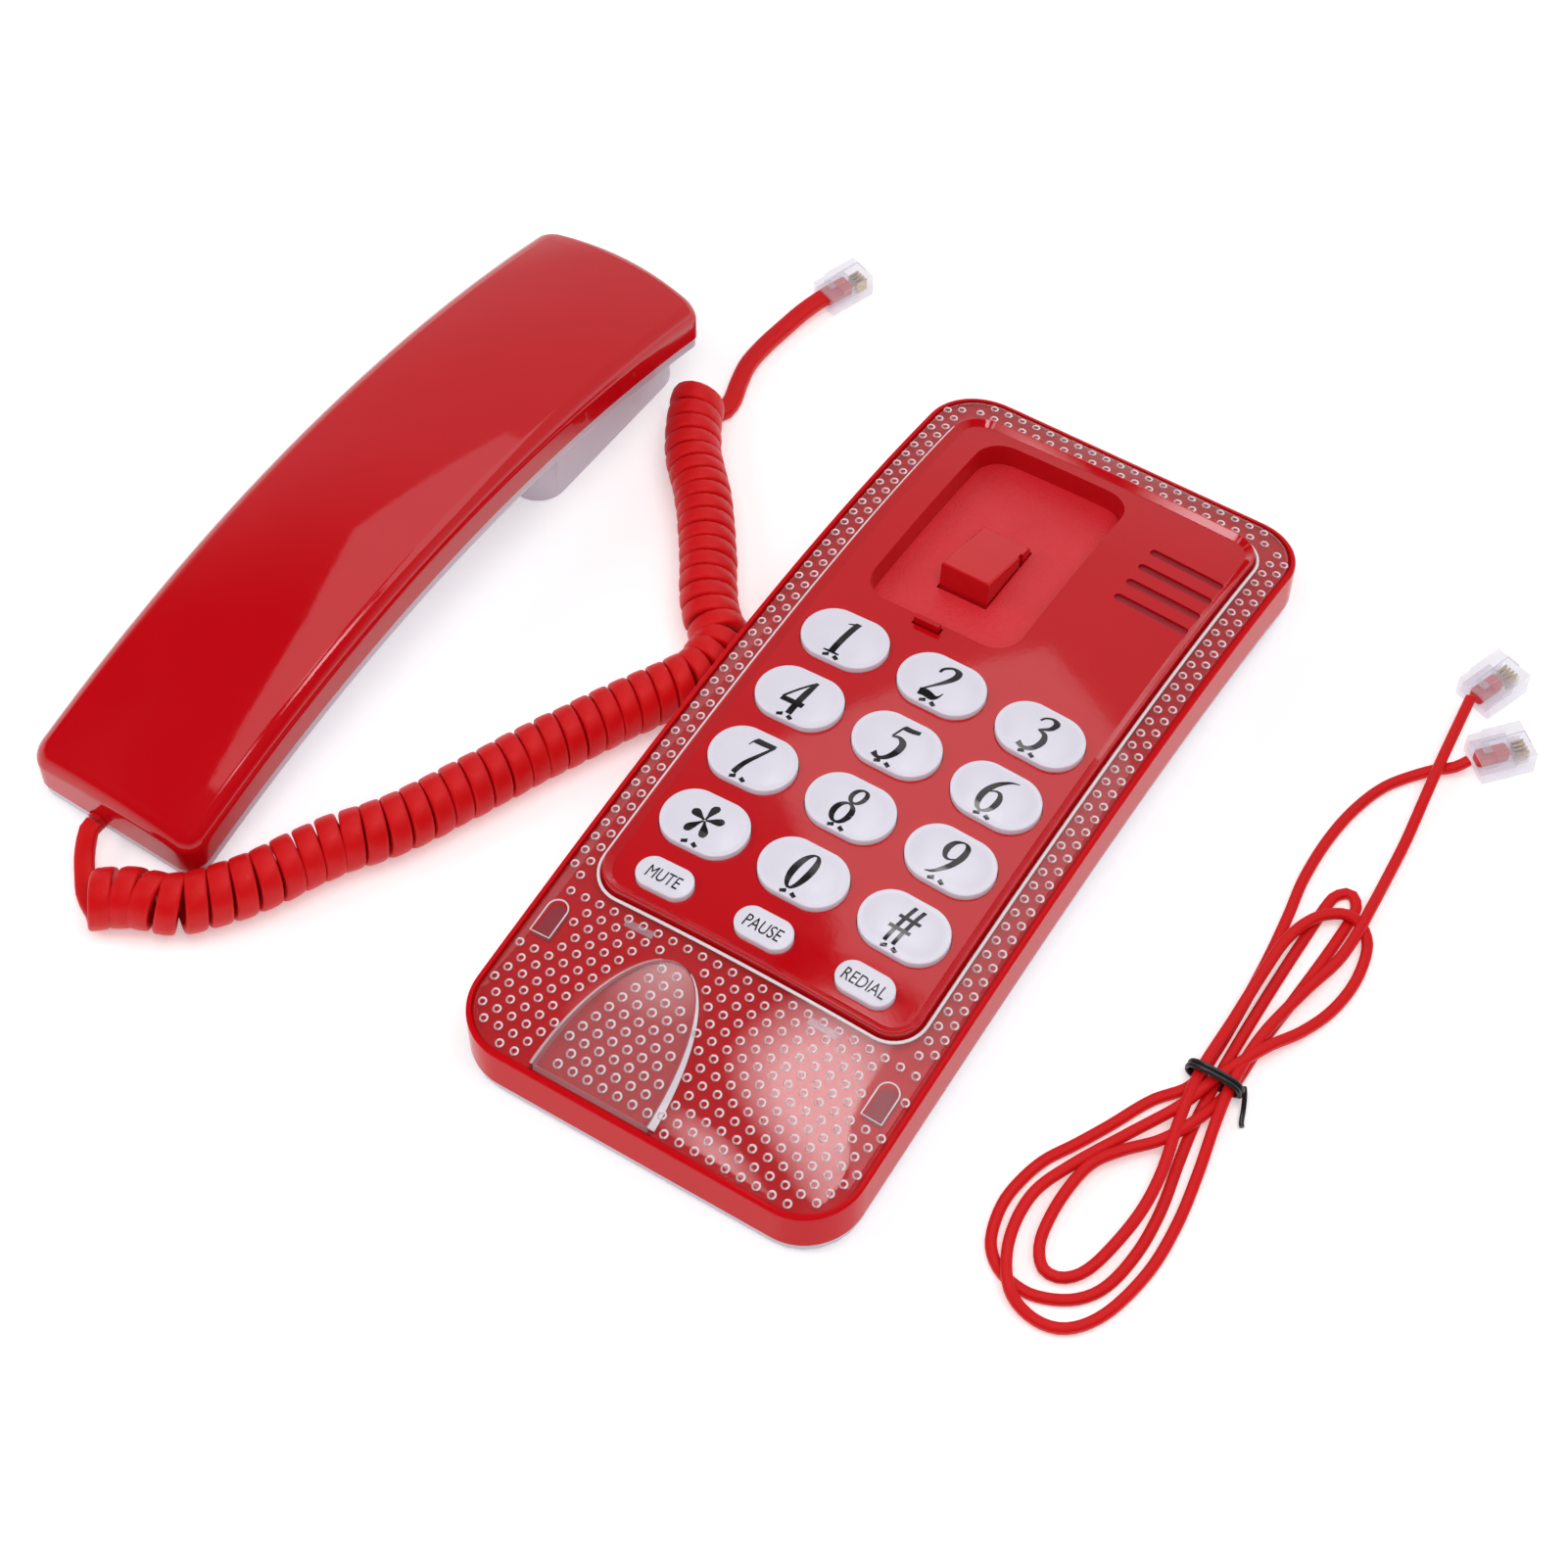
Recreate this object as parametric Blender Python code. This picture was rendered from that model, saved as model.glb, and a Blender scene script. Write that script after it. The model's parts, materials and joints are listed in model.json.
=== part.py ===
"""Slimline wall phone: an arched base with a keypad, a handset lying beside it, a curly cord and a
looped line cord. Lengths are in metres, +Z is up, and the base's keypad end points to -Y."""

import math

import bmesh
import bpy
from mathutils import Matrix, Vector

MM = 0.001
GAP = 0.35 * MM

# Base
BASE_X = 55.84 * MM  # puts the origin under the middle of base and handset together
BASE_LENGTH = 203 * MM
BASE_WIDTH = 90.6 * MM
CORNER_R = 13 * MM
ARCH = 8.5 * MM  # the base's middle stands this much higher than its ends
ARCH_SKEW = 2.6 * MM  # the arch leans towards the cradle
CROWN = 2.4 * MM  # the middle of the top stands this much above its edges
REAR_BOTTOM = 1.0 * MM
REAR_TOP = 2.8 * MM
WALL = 2.2 * MM
RIM_TOP = 13.9 * MM
RIM_WALL = 1.1 * MM  # the thin edge that frames the clear cover
DECK_TOP = 11.8 * MM  # red deck under the clear cover
DECK_THICK = 1.5 * MM
COVER_TOP = 14.0 * MM  # clear cover
FACE_TOP = 16.2 * MM  # face panel
FACE_THICK = 2.0 * MM

# Face panel
FACE_X = 37.3 * MM
FACE_Y0 = -60.2 * MM
FACE_Y1 = 92.0 * MM
FACE_R = 7 * MM
FACE_SKIRT = 12.15 * MM  # level of the skirt's lower edge
FACE_WALL = 1.5 * MM
LEDGE = 2.4 * MM  # the deck reaches this far under the panel's skirt
POCKET_X0 = -29.4 * MM
POCKET_X1 = 8.0 * MM
POCKET_Y0 = 30.0 * MM
POCKET_Y1 = 87.3 * MM
POCKET_R = 6.5 * MM
POCKET_DEPTH = 7.0 * MM
POCKET_DRAFT = 0.8 * MM
SLOT_YS = [58.7 * MM, 64.1 * MM, 69.6 * MM, 75.1 * MM]
SLOT_X = 26.9 * MM
SLOT_LENGTH = 18.6 * MM
SLOT_WIDTH = 1.6 * MM

# Mouthpiece recess in the clear cover
MOUTH_X = -11.2 * MM
MOUTH_Y = -99.0 * MM
MOUTH_HALF = 13.4 * MM
MOUTH_LENGTH = 32 * MM
MOUTH_DEPTH = 2.6 * MM
MOUTH_FLOOR = 1.2 * MM

# Keys
KEY_PITCH_X = 23.6 * MM
KEY_PITCH_Y = 18.05 * MM
KEY_TOP_Y = 16.0 * MM
KEY_SIZE = (20.6 * MM, 14.2 * MM)
KEY_TRAVEL = 1.6 * MM
KEY_PROUD = 1.6 * MM
FUNCTION_Y = -53.0 * MM
FUNCTION_SIZE = (13.6 * MM, 7.6 * MM)
FUNCTION_PROUD = 1.0 * MM
NUMBER_KEYS = [
    ["key_1", "key_2", "key_3"],
    ["key_4", "key_5", "key_6"],
    ["key_7", "key_8", "key_9"],
    ["key_star", "key_0", "key_hash"],
]
FUNCTION_KEYS = ["key_mute", "key_pause", "key_redial"]

# Hook switch
HOOK_X = -11.2 * MM
HOOK_WIDTH = 11.8 * MM
HOOK_FRONT_Y = 44.0 * MM
HOOK_PIVOT_Y = 62.5 * MM
HOOK_RISE = 7.3 * MM
HOOK_LEAN = 0.9 * MM  # the front face leans back, so that its top stays clear of the slot as it turns
HOOK_WALL = 1.3 * MM
HOOK_SLOT = (-17.6 * MM, -4.4 * MM, 43.2 * MM, 64.0 * MM)
TAB = (-14.0 * MM, -8.0 * MM, 28.0 * MM, 29.2 * MM)

# Electronics
BOARD_BOTTOM = 15.3 * MM
BOARD_TOP = 16.9 * MM
MAT_TOP = 18.0 * MM
BOARD_X = 30.5 * MM
BOARD_Y0 = -56.0 * MM
BOARD_Y1 = 26.0 * MM

# Handset
HANDSET_AT = (-130.3 * MM, -3.3 * MM)
HANDSET_YAW = -2.6  # degrees about +Z
HANDSET_LENGTH = 184 * MM
HANDSET_WIDTH = 45.5 * MM
HANDSET_R = 5.0 * MM
SEAM_NEAR = 6.6 * MM
SEAM_MIDDLE = 23.4 * MM
SEAM_FAR = 12.4 * MM
BACK_HEIGHT = 10.6 * MM
BACK_WALL = 2.0 * MM
BACK_CROWN = 2.0 * MM
FRONT_DEPTH = 3.6 * MM
EAR_Y0 = 33.0 * MM
EAR_Y1 = 86.0 * MM
EAR_HALF = 17.8 * MM
EAR_Y = 59.0 * MM
EAR_FLOOR = 2.2 * MM
CAPSULE_R = 13.5 * MM
MIC_HALF = 14.0 * MM
MIC_Y0 = -88.0 * MM
MIC_Y1 = -64.0 * MM
MIC_Y = -76.0 * MM
MIC_R = 4.8 * MM
MIC_FLOOR = 2.2 * MM
FRONT_WALL = 1.6 * MM

# Cords
COIL_R = 6.7 * MM
LEAD_D = 4.2 * MM
LINE_D = 3.2 * MM

RED = (0.60, 0.010, 0.014)
PALE = (0.80, 0.78, 0.82)


# --- helpers ---------------------------------------------------------------------------------

def clear_scene():
    for old in list(bpy.data.objects):
        bpy.data.objects.remove(old, do_unlink=True)


def new_collection(name, hidden=False):
    made = bpy.data.collections.new(name)
    bpy.context.scene.collection.children.link(made)
    made.hide_render = hidden
    return made


def material(name, color, roughness=0.25, metallic=0.0, alpha=1.0):
    made = bpy.data.materials.new(name)
    made.use_nodes = True
    shader = made.node_tree.nodes["Principled BSDF"]
    shader.inputs["Base Color"].default_value = (*color, 1.0)
    shader.inputs["Roughness"].default_value = roughness
    shader.inputs["Metallic"].default_value = metallic
    shader.inputs["Alpha"].default_value = alpha
    made.diffuse_color = (*color, alpha)
    return made


def add_object(name, bm, look=None, parent=None, location=(0, 0, 0), cutter=False):
    mesh = bpy.data.meshes.new(name)
    bmesh.ops.recalc_face_normals(bm, faces=bm.faces)
    bm.to_mesh(mesh)
    bm.free()
    made = bpy.data.objects.new(name, mesh)
    (CUTTERS if cutter else PARTS).objects.link(made)
    made.location = location
    made.parent = parent
    if look:
        mesh.materials.append(look)
    if cutter:
        made.hide_render = True
        made.display_type = "WIRE"
    return made


def box(x0, x1, y0, y1, z0, z1):
    bm = bmesh.new()
    bmesh.ops.create_cube(bm, size=1)
    bmesh.ops.scale(bm, vec=(x1 - x0, y1 - y0, z1 - z0), verts=bm.verts)
    bmesh.ops.translate(bm, vec=((x0 + x1) / 2, (y0 + y1) / 2, (z0 + z1) / 2), verts=bm.verts)
    return bm


def slab(x0, x1, y0, y1, z0, z1, radius, segments=6, soften=0.0, soften_segments=2, draft=0.0):
    """A box with round upright edges, an optional softened top edge, and sides that lean in by draft."""
    bm = box(x0, x1, y0, y1, z0, z1)
    upright = [e for e in bm.edges if abs(e.verts[0].co.z - e.verts[1].co.z) > 0.5 * (z1 - z0)]
    bmesh.ops.bevel(
        bm, geom=upright, offset=radius, offset_type="OFFSET", segments=segments, profile=0.5, affect="EDGES"
    )
    if soften:
        rim = [e for e in bm.edges if min(v.co.z for v in e.verts) > z1 - 1e-6]
        bmesh.ops.bevel(
            bm, geom=rim, offset=soften, offset_type="OFFSET", segments=soften_segments, profile=0.5,
            affect="EDGES",
        )
    if draft:
        middle = Vector(((x0 + x1) / 2, (y0 + y1) / 2, 0))
        for vert in bm.verts:
            if vert.co.z < (z0 + z1) / 2:
                vert.co.x -= math.copysign(draft, vert.co.x - middle.x)
                vert.co.y -= math.copysign(draft, vert.co.y - middle.y)
    return bm


def stadium(width, height, z0, z1, segments=5, soften=0.0, soften_segments=2):
    return slab(
        -width / 2, width / 2, -height / 2, height / 2, z0, z1, 0.49 * height, segments, soften, soften_segments
    )


def cylinder(radius, z0, z1, segments=16, x=0.0, y=0.0, radius_top=None):
    bm = bmesh.new()
    bmesh.ops.create_cone(
        bm, cap_ends=True, segments=segments, radius1=radius, radius2=radius if radius_top is None else radius_top,
        depth=z1 - z0,
    )
    bmesh.ops.translate(bm, vec=(x, y, (z0 + z1) / 2), verts=bm.verts)
    return bm


def shifted(bm, x, y, z=0.0):
    bmesh.ops.translate(bm, vec=(x, y, z), verts=bm.verts)
    return bm


def bake(obj):
    """Applies the object's modifiers."""
    bpy.context.view_layer.update()
    evaluated = obj.evaluated_get(bpy.context.evaluated_depsgraph_get())
    mesh = bpy.data.meshes.new_from_object(evaluated)
    obj.modifiers.clear()
    old = obj.data
    obj.data = mesh
    bpy.data.meshes.remove(old)
    obj.data.name = obj.name
    return obj


def combine(obj, bm, operation):
    """Boolean of the object with a mesh in the object's own coordinates, applied at once."""
    tool = add_object(obj.name + "_tool", bm, cutter=True)
    tool.parent = obj.parent
    tool.location = obj.location
    tool.rotation_euler = obj.rotation_euler
    modifier = obj.modifiers.new(operation.lower(), "BOOLEAN")
    modifier.operation = operation
    modifier.object = tool
    modifier.solver = "EXACT"
    bake(obj)
    bpy.data.objects.remove(tool, do_unlink=True)
    return obj


def cut(obj, bm):
    return combine(obj, bm, "DIFFERENCE")


def join(obj, bm):
    return combine(obj, bm, "UNION")


def steps(low, high, count):
    return [low + (high - low) * (i + 1) / (count + 1) for i in range(count)]


def bend(obj, lift, xs=(), ys=()):
    """Slices the mesh at xs and ys, then raises each point by lift(x, y)."""
    bm = bmesh.new()
    bm.from_mesh(obj.data)
    for axis, places in ((Vector((1, 0, 0)), xs), (Vector((0, 1, 0)), ys)):
        for place in places:
            everything = bm.verts[:] + bm.edges[:] + bm.faces[:]
            bmesh.ops.bisect_plane(bm, geom=everything, dist=1e-6, plane_co=axis * place, plane_no=axis)
    bmesh.ops.triangulate(bm, faces=bm.faces[:])
    for vert in bm.verts:
        vert.co.z += lift(vert.co.x, vert.co.y)
    bm.to_mesh(obj.data)
    bm.free()
    return obj


def empty(name, location, parent=None, turn=0.0):
    made = bpy.data.objects.new(name, None)
    PARTS.objects.link(made)
    made.location = location
    made.rotation_euler.z = math.radians(turn)
    made.parent = parent
    return made


# --- base ------------------------------------------------------------------------------------

def arch(x, y):
    """How much higher the base lies at this place than at its ends."""
    t = 2 * y / BASE_LENGTH
    return ARCH * (1 - t * t) + ARCH_SKEW * (t - t**3)


def top_lift(x, y):
    """The arch with the crown, which fades out at the side walls and at both ends."""
    t = 2 * y / BASE_LENGTH
    across = 1 - min(1.0, 2 * abs(x) / BASE_WIDTH) ** 2
    return arch(x, y) + CROWN * across * (1 - min(1.0, abs(t)) ** 8)


ARCH_STATIONS = steps(-BASE_LENGTH / 2, BASE_LENGTH / 2, 15)
CROWN_STATIONS = steps(-BASE_WIDTH / 2, BASE_WIDTH / 2, 5)
BOSSES = [(-37.5 * MM, -93.5 * MM), (37.5 * MM, -93.5 * MM), (-37.5 * MM, 94.5 * MM), (37.5 * MM, 94.5 * MM)]
STANDOFFS = [(-27 * MM, -50 * MM), (27 * MM, -50 * MM), (-27 * MM, 20 * MM), (27 * MM, 20 * MM)]
FEET = [(-36 * MM, -80 * MM), (36 * MM, -80 * MM), (-36 * MM, 80 * MM), (36 * MM, 80 * MM)]
KEYHOLES = [(0.0, -70 * MM), (0.0, 66 * MM)]
LINE_SOCKET = (-26.0 * MM, BASE_LENGTH / 2)
HANDSET_SOCKET = (-BASE_WIDTH / 2, -46.0 * MM)


def base_outline(inset, z0, z1, soften=0.0, segments=6):
    half_x = BASE_WIDTH / 2 - inset
    half_y = BASE_LENGTH / 2 - inset
    return slab(-half_x, half_x, -half_y, half_y, z0, z1, CORNER_R - inset, segments, soften)


def mouth_outline(grow, z0, z1):
    """Half an ellipse: an arch with its flat side towards the near end."""
    half = MOUTH_HALF + grow
    length = MOUTH_LENGTH + grow
    ring = [(-half, -grow), (half, -grow)]
    ring += [(half * math.cos(a), length * math.sin(a)) for a in steps(0, math.pi, 13)]
    bm = bmesh.new()
    floor = bm.faces.new([bm.verts.new((x + MOUTH_X, y + MOUTH_Y, z0)) for x, y in ring])
    top = bmesh.ops.extrude_face_region(bm, geom=[floor])
    raised = [v for v in top["geom"] if isinstance(v, bmesh.types.BMVert)]
    bmesh.ops.translate(bm, vec=(0, 0, z1 - z0), verts=raised)
    bmesh.ops.recalc_face_normals(bm, faces=bm.faces)
    return bm


def front_housing(parent):
    """Red outer case: side walls, a thin rim round the clear cover, and the deck under the cover."""
    housing = add_object("front_housing", base_outline(0, REAR_TOP + GAP, RIM_TOP, 0.5 * MM), LOOK["red"], parent)
    cut(housing, base_outline(RIM_WALL, DECK_TOP, RIM_TOP + 5 * MM))
    cut(housing, base_outline(WALL, -5 * MM, DECK_TOP - DECK_THICK))
    floor = COVER_TOP - MOUTH_DEPTH - MOUTH_FLOOR - GAP
    join(housing, mouth_outline(2.2 * MM, floor - DECK_THICK, DECK_TOP - 0.2 * MM))
    cut(housing, mouth_outline(1.1 * MM, floor, RIM_TOP + 5 * MM))
    for x, y in BOSSES:
        join(housing, cylinder(2.9 * MM, REAR_TOP + GAP, DECK_TOP - 0.5 * MM, 12, x, y))
        cut(housing, cylinder(1.3 * MM, 0, 9.5 * MM, 8, x, y))
    edge = LEDGE
    cut(
        housing,
        slab(
            -FACE_X + edge, FACE_X - edge, FACE_Y0 + edge, FACE_Y1 - edge, -5 * MM, 30 * MM, FACE_R - edge, 4
        ),
    )
    sx, sy = LINE_SOCKET
    cut(housing, box(sx - 6.5 * MM, sx + 6.5 * MM, sy - 15 * MM, sy + 5 * MM, 0, 11.9 * MM))
    hx, hy = HANDSET_SOCKET
    cut(housing, box(hx - 5 * MM, hx + 16 * MM, hy - 5.4 * MM, hy + 5.4 * MM, 0, 11.0 * MM))
    return bend(housing, top_lift, CROWN_STATIONS, ARCH_STATIONS)


def keyhole(x, y):
    head = cylinder(4.2 * MM, -5 * MM, 8 * MM, 14, x, y)
    slot = box(x - 2.1 * MM, x + 2.1 * MM, y, y + 9 * MM, -5 * MM, 8 * MM)
    return head, slot


def rear_cover(parent):
    """Bottom plate with foot pads, standoffs for the board, screw holes and two wall keyholes."""
    plate = add_object("rear_cover", base_outline(0.5 * MM, REAR_BOTTOM, REAR_TOP), LOOK["pale"], parent)
    for x, y in BOSSES:
        cut(plate, cylinder(1.5 * MM, -5 * MM, 8 * MM, 8, x, y))
        cut(plate, cylinder(2.7 * MM, -5 * MM, REAR_BOTTOM + 0.95 * MM, 12, x, y))
    for x, y in KEYHOLES:
        for tool in keyhole(x, y):
            cut(plate, tool)
    sx, sy = LINE_SOCKET
    cut(plate, box(sx - 6.5 * MM, sx + 6.5 * MM, sy - 12.7 * MM, sy + 5 * MM, -5 * MM, 8 * MM))
    bend(plate, arch, (), ARCH_STATIONS)
    for x, y in FEET:
        join(plate, cylinder(6.0 * MM, 1.35 * MM, REAR_BOTTOM + arch(x, y) + 1.0 * MM, 16, x, y))
    for x, y in STANDOFFS:
        join(plate, cylinder(2.4 * MM, REAR_BOTTOM + arch(x, y) + 1.0 * MM, BOARD_BOTTOM - GAP, 10, x, y))
    return plate


def clear_cover(parent):
    """Clear plate over the red deck, open for the face panel, with the mouthpiece recess."""
    cover = add_object(
        "clear_cover", base_outline(RIM_WALL + GAP, DECK_TOP + 0.4 * MM, COVER_TOP, 1.0 * MM), LOOK["clear"], parent
    )
    low = COVER_TOP - MOUTH_DEPTH
    join(cover, mouth_outline(0.75 * MM, low - MOUTH_FLOOR, COVER_TOP - 1.2 * MM))
    cut(cover, mouth_outline(0.0, low, COVER_TOP + 5 * MM))
    x1 = FACE_X + GAP
    cut(cover, slab(-x1, x1, FACE_Y0 - GAP, FACE_Y1 + GAP, 0, 30 * MM, FACE_R + GAP, 4))
    return bend(cover, top_lift, CROWN_STATIONS, ARCH_STATIONS)


def key_places():
    """(name, x, y) of the twelve number keys."""
    places = []
    for row, names in enumerate(NUMBER_KEYS):
        for column, name in enumerate(names):
            places.append((name, (column - 1) * KEY_PITCH_X, KEY_TOP_Y - row * KEY_PITCH_Y))
    return places


def function_places():
    return [(name, (i - 1) * KEY_PITCH_X, FUNCTION_Y) for i, name in enumerate(FUNCTION_KEYS)]


def face_panel(parent):
    """Red panel with the cradle pocket, holes for the keys, the hook's slot and the ringer's slots."""
    top = slab(-FACE_X, FACE_X, FACE_Y0, FACE_Y1, FACE_SKIRT, FACE_TOP, FACE_R, 4, 1.0 * MM)
    panel = add_object("face_panel", top, LOOK["red"], parent)
    wall = FACE_WALL
    cut(
        panel,
        slab(
            -FACE_X + wall, FACE_X - wall, FACE_Y0 + wall, FACE_Y1 - wall, 0, FACE_TOP - FACE_THICK,
            FACE_R - wall, 4,
        ),
    )
    floor = FACE_TOP - POCKET_DEPTH
    join(
        panel,
        slab(
            POCKET_X0 - wall, POCKET_X1 + wall, POCKET_Y0 - wall, POCKET_Y1 + wall, floor - wall,
            FACE_TOP - 1 * MM, POCKET_R + wall, 4,
        ),
    )
    cut(
        panel,
        slab(
            POCKET_X0, POCKET_X1, POCKET_Y0, POCKET_Y1, floor, FACE_TOP + 5 * MM, POCKET_R, 4,
            draft=POCKET_DRAFT,
        ),
    )
    x0, x1, y0, y1 = HOOK_SLOT
    cut(panel, box(x0, x1, y0, y1, 0, floor + 2 * MM))
    x0, x1, y0, y1 = TAB
    cut(panel, box(x0 - GAP, x1 + GAP, y0 - GAP, y1 + GAP, FACE_TOP - 5 * MM, FACE_TOP + 5 * MM))
    for _, x, y in key_places():
        grown = [side + 1.2 * MM for side in KEY_SIZE]
        cut(panel, shifted(stadium(*grown, 0, 30 * MM, 4), x, y))
    for _, x, y in function_places():
        grown = [side + 1.0 * MM for side in FUNCTION_SIZE]
        cut(panel, shifted(stadium(*grown, 0, 30 * MM, 4), x, y))
    for y in SLOT_YS:
        cut(panel, shifted(stadium(SLOT_LENGTH, SLOT_WIDTH, 0, 30 * MM, 3), SLOT_X, y))
    return bend(panel, top_lift, CROWN_STATIONS, ARCH_STATIONS)


def key(name, x, y, size, proud, flange, parent):
    """One key: a softened cap over a flange that keeps it under the panel. Its origin is at its centre."""
    cap = stadium(*size, FACE_TOP - FACE_THICK - 0.6 * MM, FACE_TOP + proud, 4, min(size) * 0.09)
    made = add_object(name, cap, LOOK["key"], parent, (x, y, 0))
    grown = [side + 2 * flange for side in size]
    join(made, stadium(*grown, FACE_TOP - FACE_THICK - 1.2 * MM, FACE_TOP - FACE_THICK - 0.4 * MM, 4))
    return bend(made, lambda dx, dy: top_lift(x + dx, y + dy), (-0.12 * size[0], 0.12 * size[0]))


def keys(parent):
    for name, x, y in key_places():
        made = key(name, x, y, KEY_SIZE, KEY_PROUD, 1.0 * MM, parent)
        foot = MAT_TOP + GAP + KEY_TRAVEL
        under = top_lift(x, y) + FACE_TOP - FACE_THICK - 0.8 * MM
        join(made, box(-4 * MM, 4 * MM, -2.5 * MM, 2.5 * MM, foot, under))
    for name, x, y in function_places():
        key(name, x, y, FUNCTION_SIZE, FUNCTION_PROUD, 0.9 * MM, parent)


def pocket_floor(y):
    return FACE_TOP - POCKET_DEPTH + top_lift(HOOK_X, y)


def hook_paddle(parent):
    """Hollow wedge hinged at its far end. Its origin is on the hinge line."""
    pivot_z = pocket_floor(HOOK_PIVOT_Y) - 0.7 * MM
    front = HOOK_FRONT_Y - HOOK_PIVOT_Y
    front_top = pocket_floor(HOOK_FRONT_Y) + HOOK_RISE - pivot_z
    half = HOOK_WIDTH / 2

    def wedge(inset, low):
        bm = bmesh.new()
        outline = [
            (front + inset, low),
            (front + HOOK_LEAN + inset, front_top - 1.3 * inset),
            (0.0, 1.0 * MM - 1.3 * inset),
            (0.9 * MM - 1.6 * inset, 0.4 * MM - 0.8 * inset),
            (0.9 * MM - 1.6 * inset, low),
        ]
        side = bm.faces.new([bm.verts.new((-half + inset, y, z)) for y, z in outline])
        swept = bmesh.ops.extrude_face_region(bm, geom=[side])
        moved = [v for v in swept["geom"] if isinstance(v, bmesh.types.BMVert)]
        bmesh.ops.translate(bm, vec=(2 * (half - inset), 0, 0), verts=moved)
        bmesh.ops.recalc_face_normals(bm, faces=bm.faces)
        return bm

    outer = wedge(0.0, -1.0 * MM)
    tall = [e for e in outer.edges if max(v.co.z for v in e.verts) > front_top - 1e-6]
    edges = [e for e in tall if e.calc_length() > 6 * MM]
    bmesh.ops.bevel(outer, geom=edges, offset=0.7 * MM, segments=2, profile=0.5, affect="EDGES")
    paddle = add_object("hook_paddle", outer, LOOK["red"], parent, (HOOK_X, HOOK_PIVOT_Y, pivot_z))
    cut(paddle, wedge(HOOK_WALL, -4 * MM))
    return paddle


def hook_parts(parent):
    hook_paddle(parent)
    x0, x1, y0, y1 = TAB
    tab = add_object(
        "hook_tab", box(x0, x1, y0, y1, FACE_TOP - 4.6 * MM, FACE_TOP + 0.7 * MM), LOOK["red"], parent
    )
    bend(tab, top_lift)
    switch = add_object(
        "hook_switch",
        box(HOOK_X - 3 * MM, HOOK_X + 3 * MM, 47.2 * MM, 57 * MM, REAR_TOP + arch(0, 47.2 * MM) + GAP, 15 * MM),
        LOOK["black"], parent,
    )
    join(switch, box(HOOK_X - 1 * MM, HOOK_X + 1 * MM, 50 * MM, 52.4 * MM, 14.5 * MM, 17 * MM))


def electronics(parent):
    board = add_object(
        "main_board", box(-BOARD_X, BOARD_X, BOARD_Y0, BOARD_Y1, BOARD_BOTTOM, BOARD_TOP), LOOK["board"], parent
    )
    join(board, box(-8 * MM, 4 * MM, -16 * MM, -4 * MM, BOARD_BOTTOM - 2.2 * MM, BOARD_BOTTOM + 0.2 * MM))
    join(board, box(12 * MM, 22 * MM, -36 * MM, -30 * MM, BOARD_BOTTOM - 3 * MM, BOARD_BOTTOM + 0.2 * MM))
    add_object(
        "keypad_mat",
        slab(-BOARD_X + 1 * MM, BOARD_X - 1 * MM, BOARD_Y0 + 1 * MM, BOARD_Y1 - 1 * MM, BOARD_TOP + GAP, MAT_TOP,
             2 * MM, 2),
        LOOK["rubber"], parent,
    )
    ringer = cylinder(8.3 * MM, 18.9 * MM, 19.9 * MM, 24, 26.1 * MM, 67 * MM)
    add_object("ringer_disc", ringer, LOOK["brass"], parent)


def sockets(parent):
    """Modular sockets: six-place for the line, four-place for the handset cord."""
    x, y = LINE_SOCKET
    line = add_object(
        "line_socket", box(x - 6.1 * MM, x + 6.1 * MM, y - 12.3 * MM, y - 0.2 * MM, 3.0 * MM, 11.6 * MM),
        LOOK["black"], parent,
    )
    cut(line, box(x - 4.95 * MM, x + 4.95 * MM, y - 11.1 * MM, y + 5 * MM, 4.1 * MM, 10.8 * MM))
    x, y = HANDSET_SOCKET
    cord = add_object(
        "handset_socket", box(x + 0.2 * MM, x + 13.0 * MM, y - 4.9 * MM, y + 4.9 * MM, 9.2 * MM, 16.4 * MM),
        LOOK["black"], parent,
    )
    cut(cord, box(x - 5 * MM, x + 11.2 * MM, y - 3.95 * MM, y + 3.95 * MM, 9.8 * MM, 16.0 * MM))


def screws_and_feet(parent):
    for i, (x, y) in enumerate(BOSSES, 1):
        bottom = REAR_BOTTOM + arch(x, y)
        screw = add_object(
            f"case_screw_{i}", cylinder(2.0 * MM, bottom - 0.15 * MM, bottom + 0.35 * MM, 12), LOOK["steel"],
            parent, (x, y, 0),
        )
        join(screw, cylinder(1.0 * MM, bottom + 0.1 * MM, bottom + 7.5 * MM, 8))
    for i, (x, y) in enumerate(FEET, 1):
        add_object(f"foot_{i}", cylinder(5.2 * MM, 0, 1.0 * MM, 16), LOOK["rubber"], parent, (x, y, 0))


# --- handset ---------------------------------------------------------------------------------

HANDSET_STATIONS = steps(-HANDSET_LENGTH / 2, HANDSET_LENGTH / 2, 13)
HANDSET_BOSSES = [(0.0, 22 * MM), (0.0, -12 * MM)]
LEAD_HOLE = (-4.0 * MM, 6.6 * MM)  # across and above the desk


def seam(y):
    """Height of the joint between the two shells."""
    t = 2 * y / HANDSET_LENGTH
    return SEAM_MIDDLE + (SEAM_FAR - SEAM_NEAR) / 2 * t + ((SEAM_FAR + SEAM_NEAR) / 2 - SEAM_MIDDLE) * t * t


def along_seam(x, y):
    return seam(y)


def handset_outline(inset, z0, z1, soften=0.0, soften_segments=3):
    x = HANDSET_WIDTH / 2 - inset
    y = HANDSET_LENGTH / 2 - inset
    return slab(-x, x, -y, y, z0, z1, HANDSET_R - inset, 4, soften, soften_segments)


def lengthwise_hole(radius):
    bm = cylinder(radius, -8 * MM, 8 * MM, 12)
    bmesh.ops.rotate(bm, matrix=Matrix.Rotation(math.radians(90), 3, "X"), verts=bm.verts)
    x, z = LEAD_HOLE
    return shifted(bm, x, -HANDSET_LENGTH / 2, z)


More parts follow.
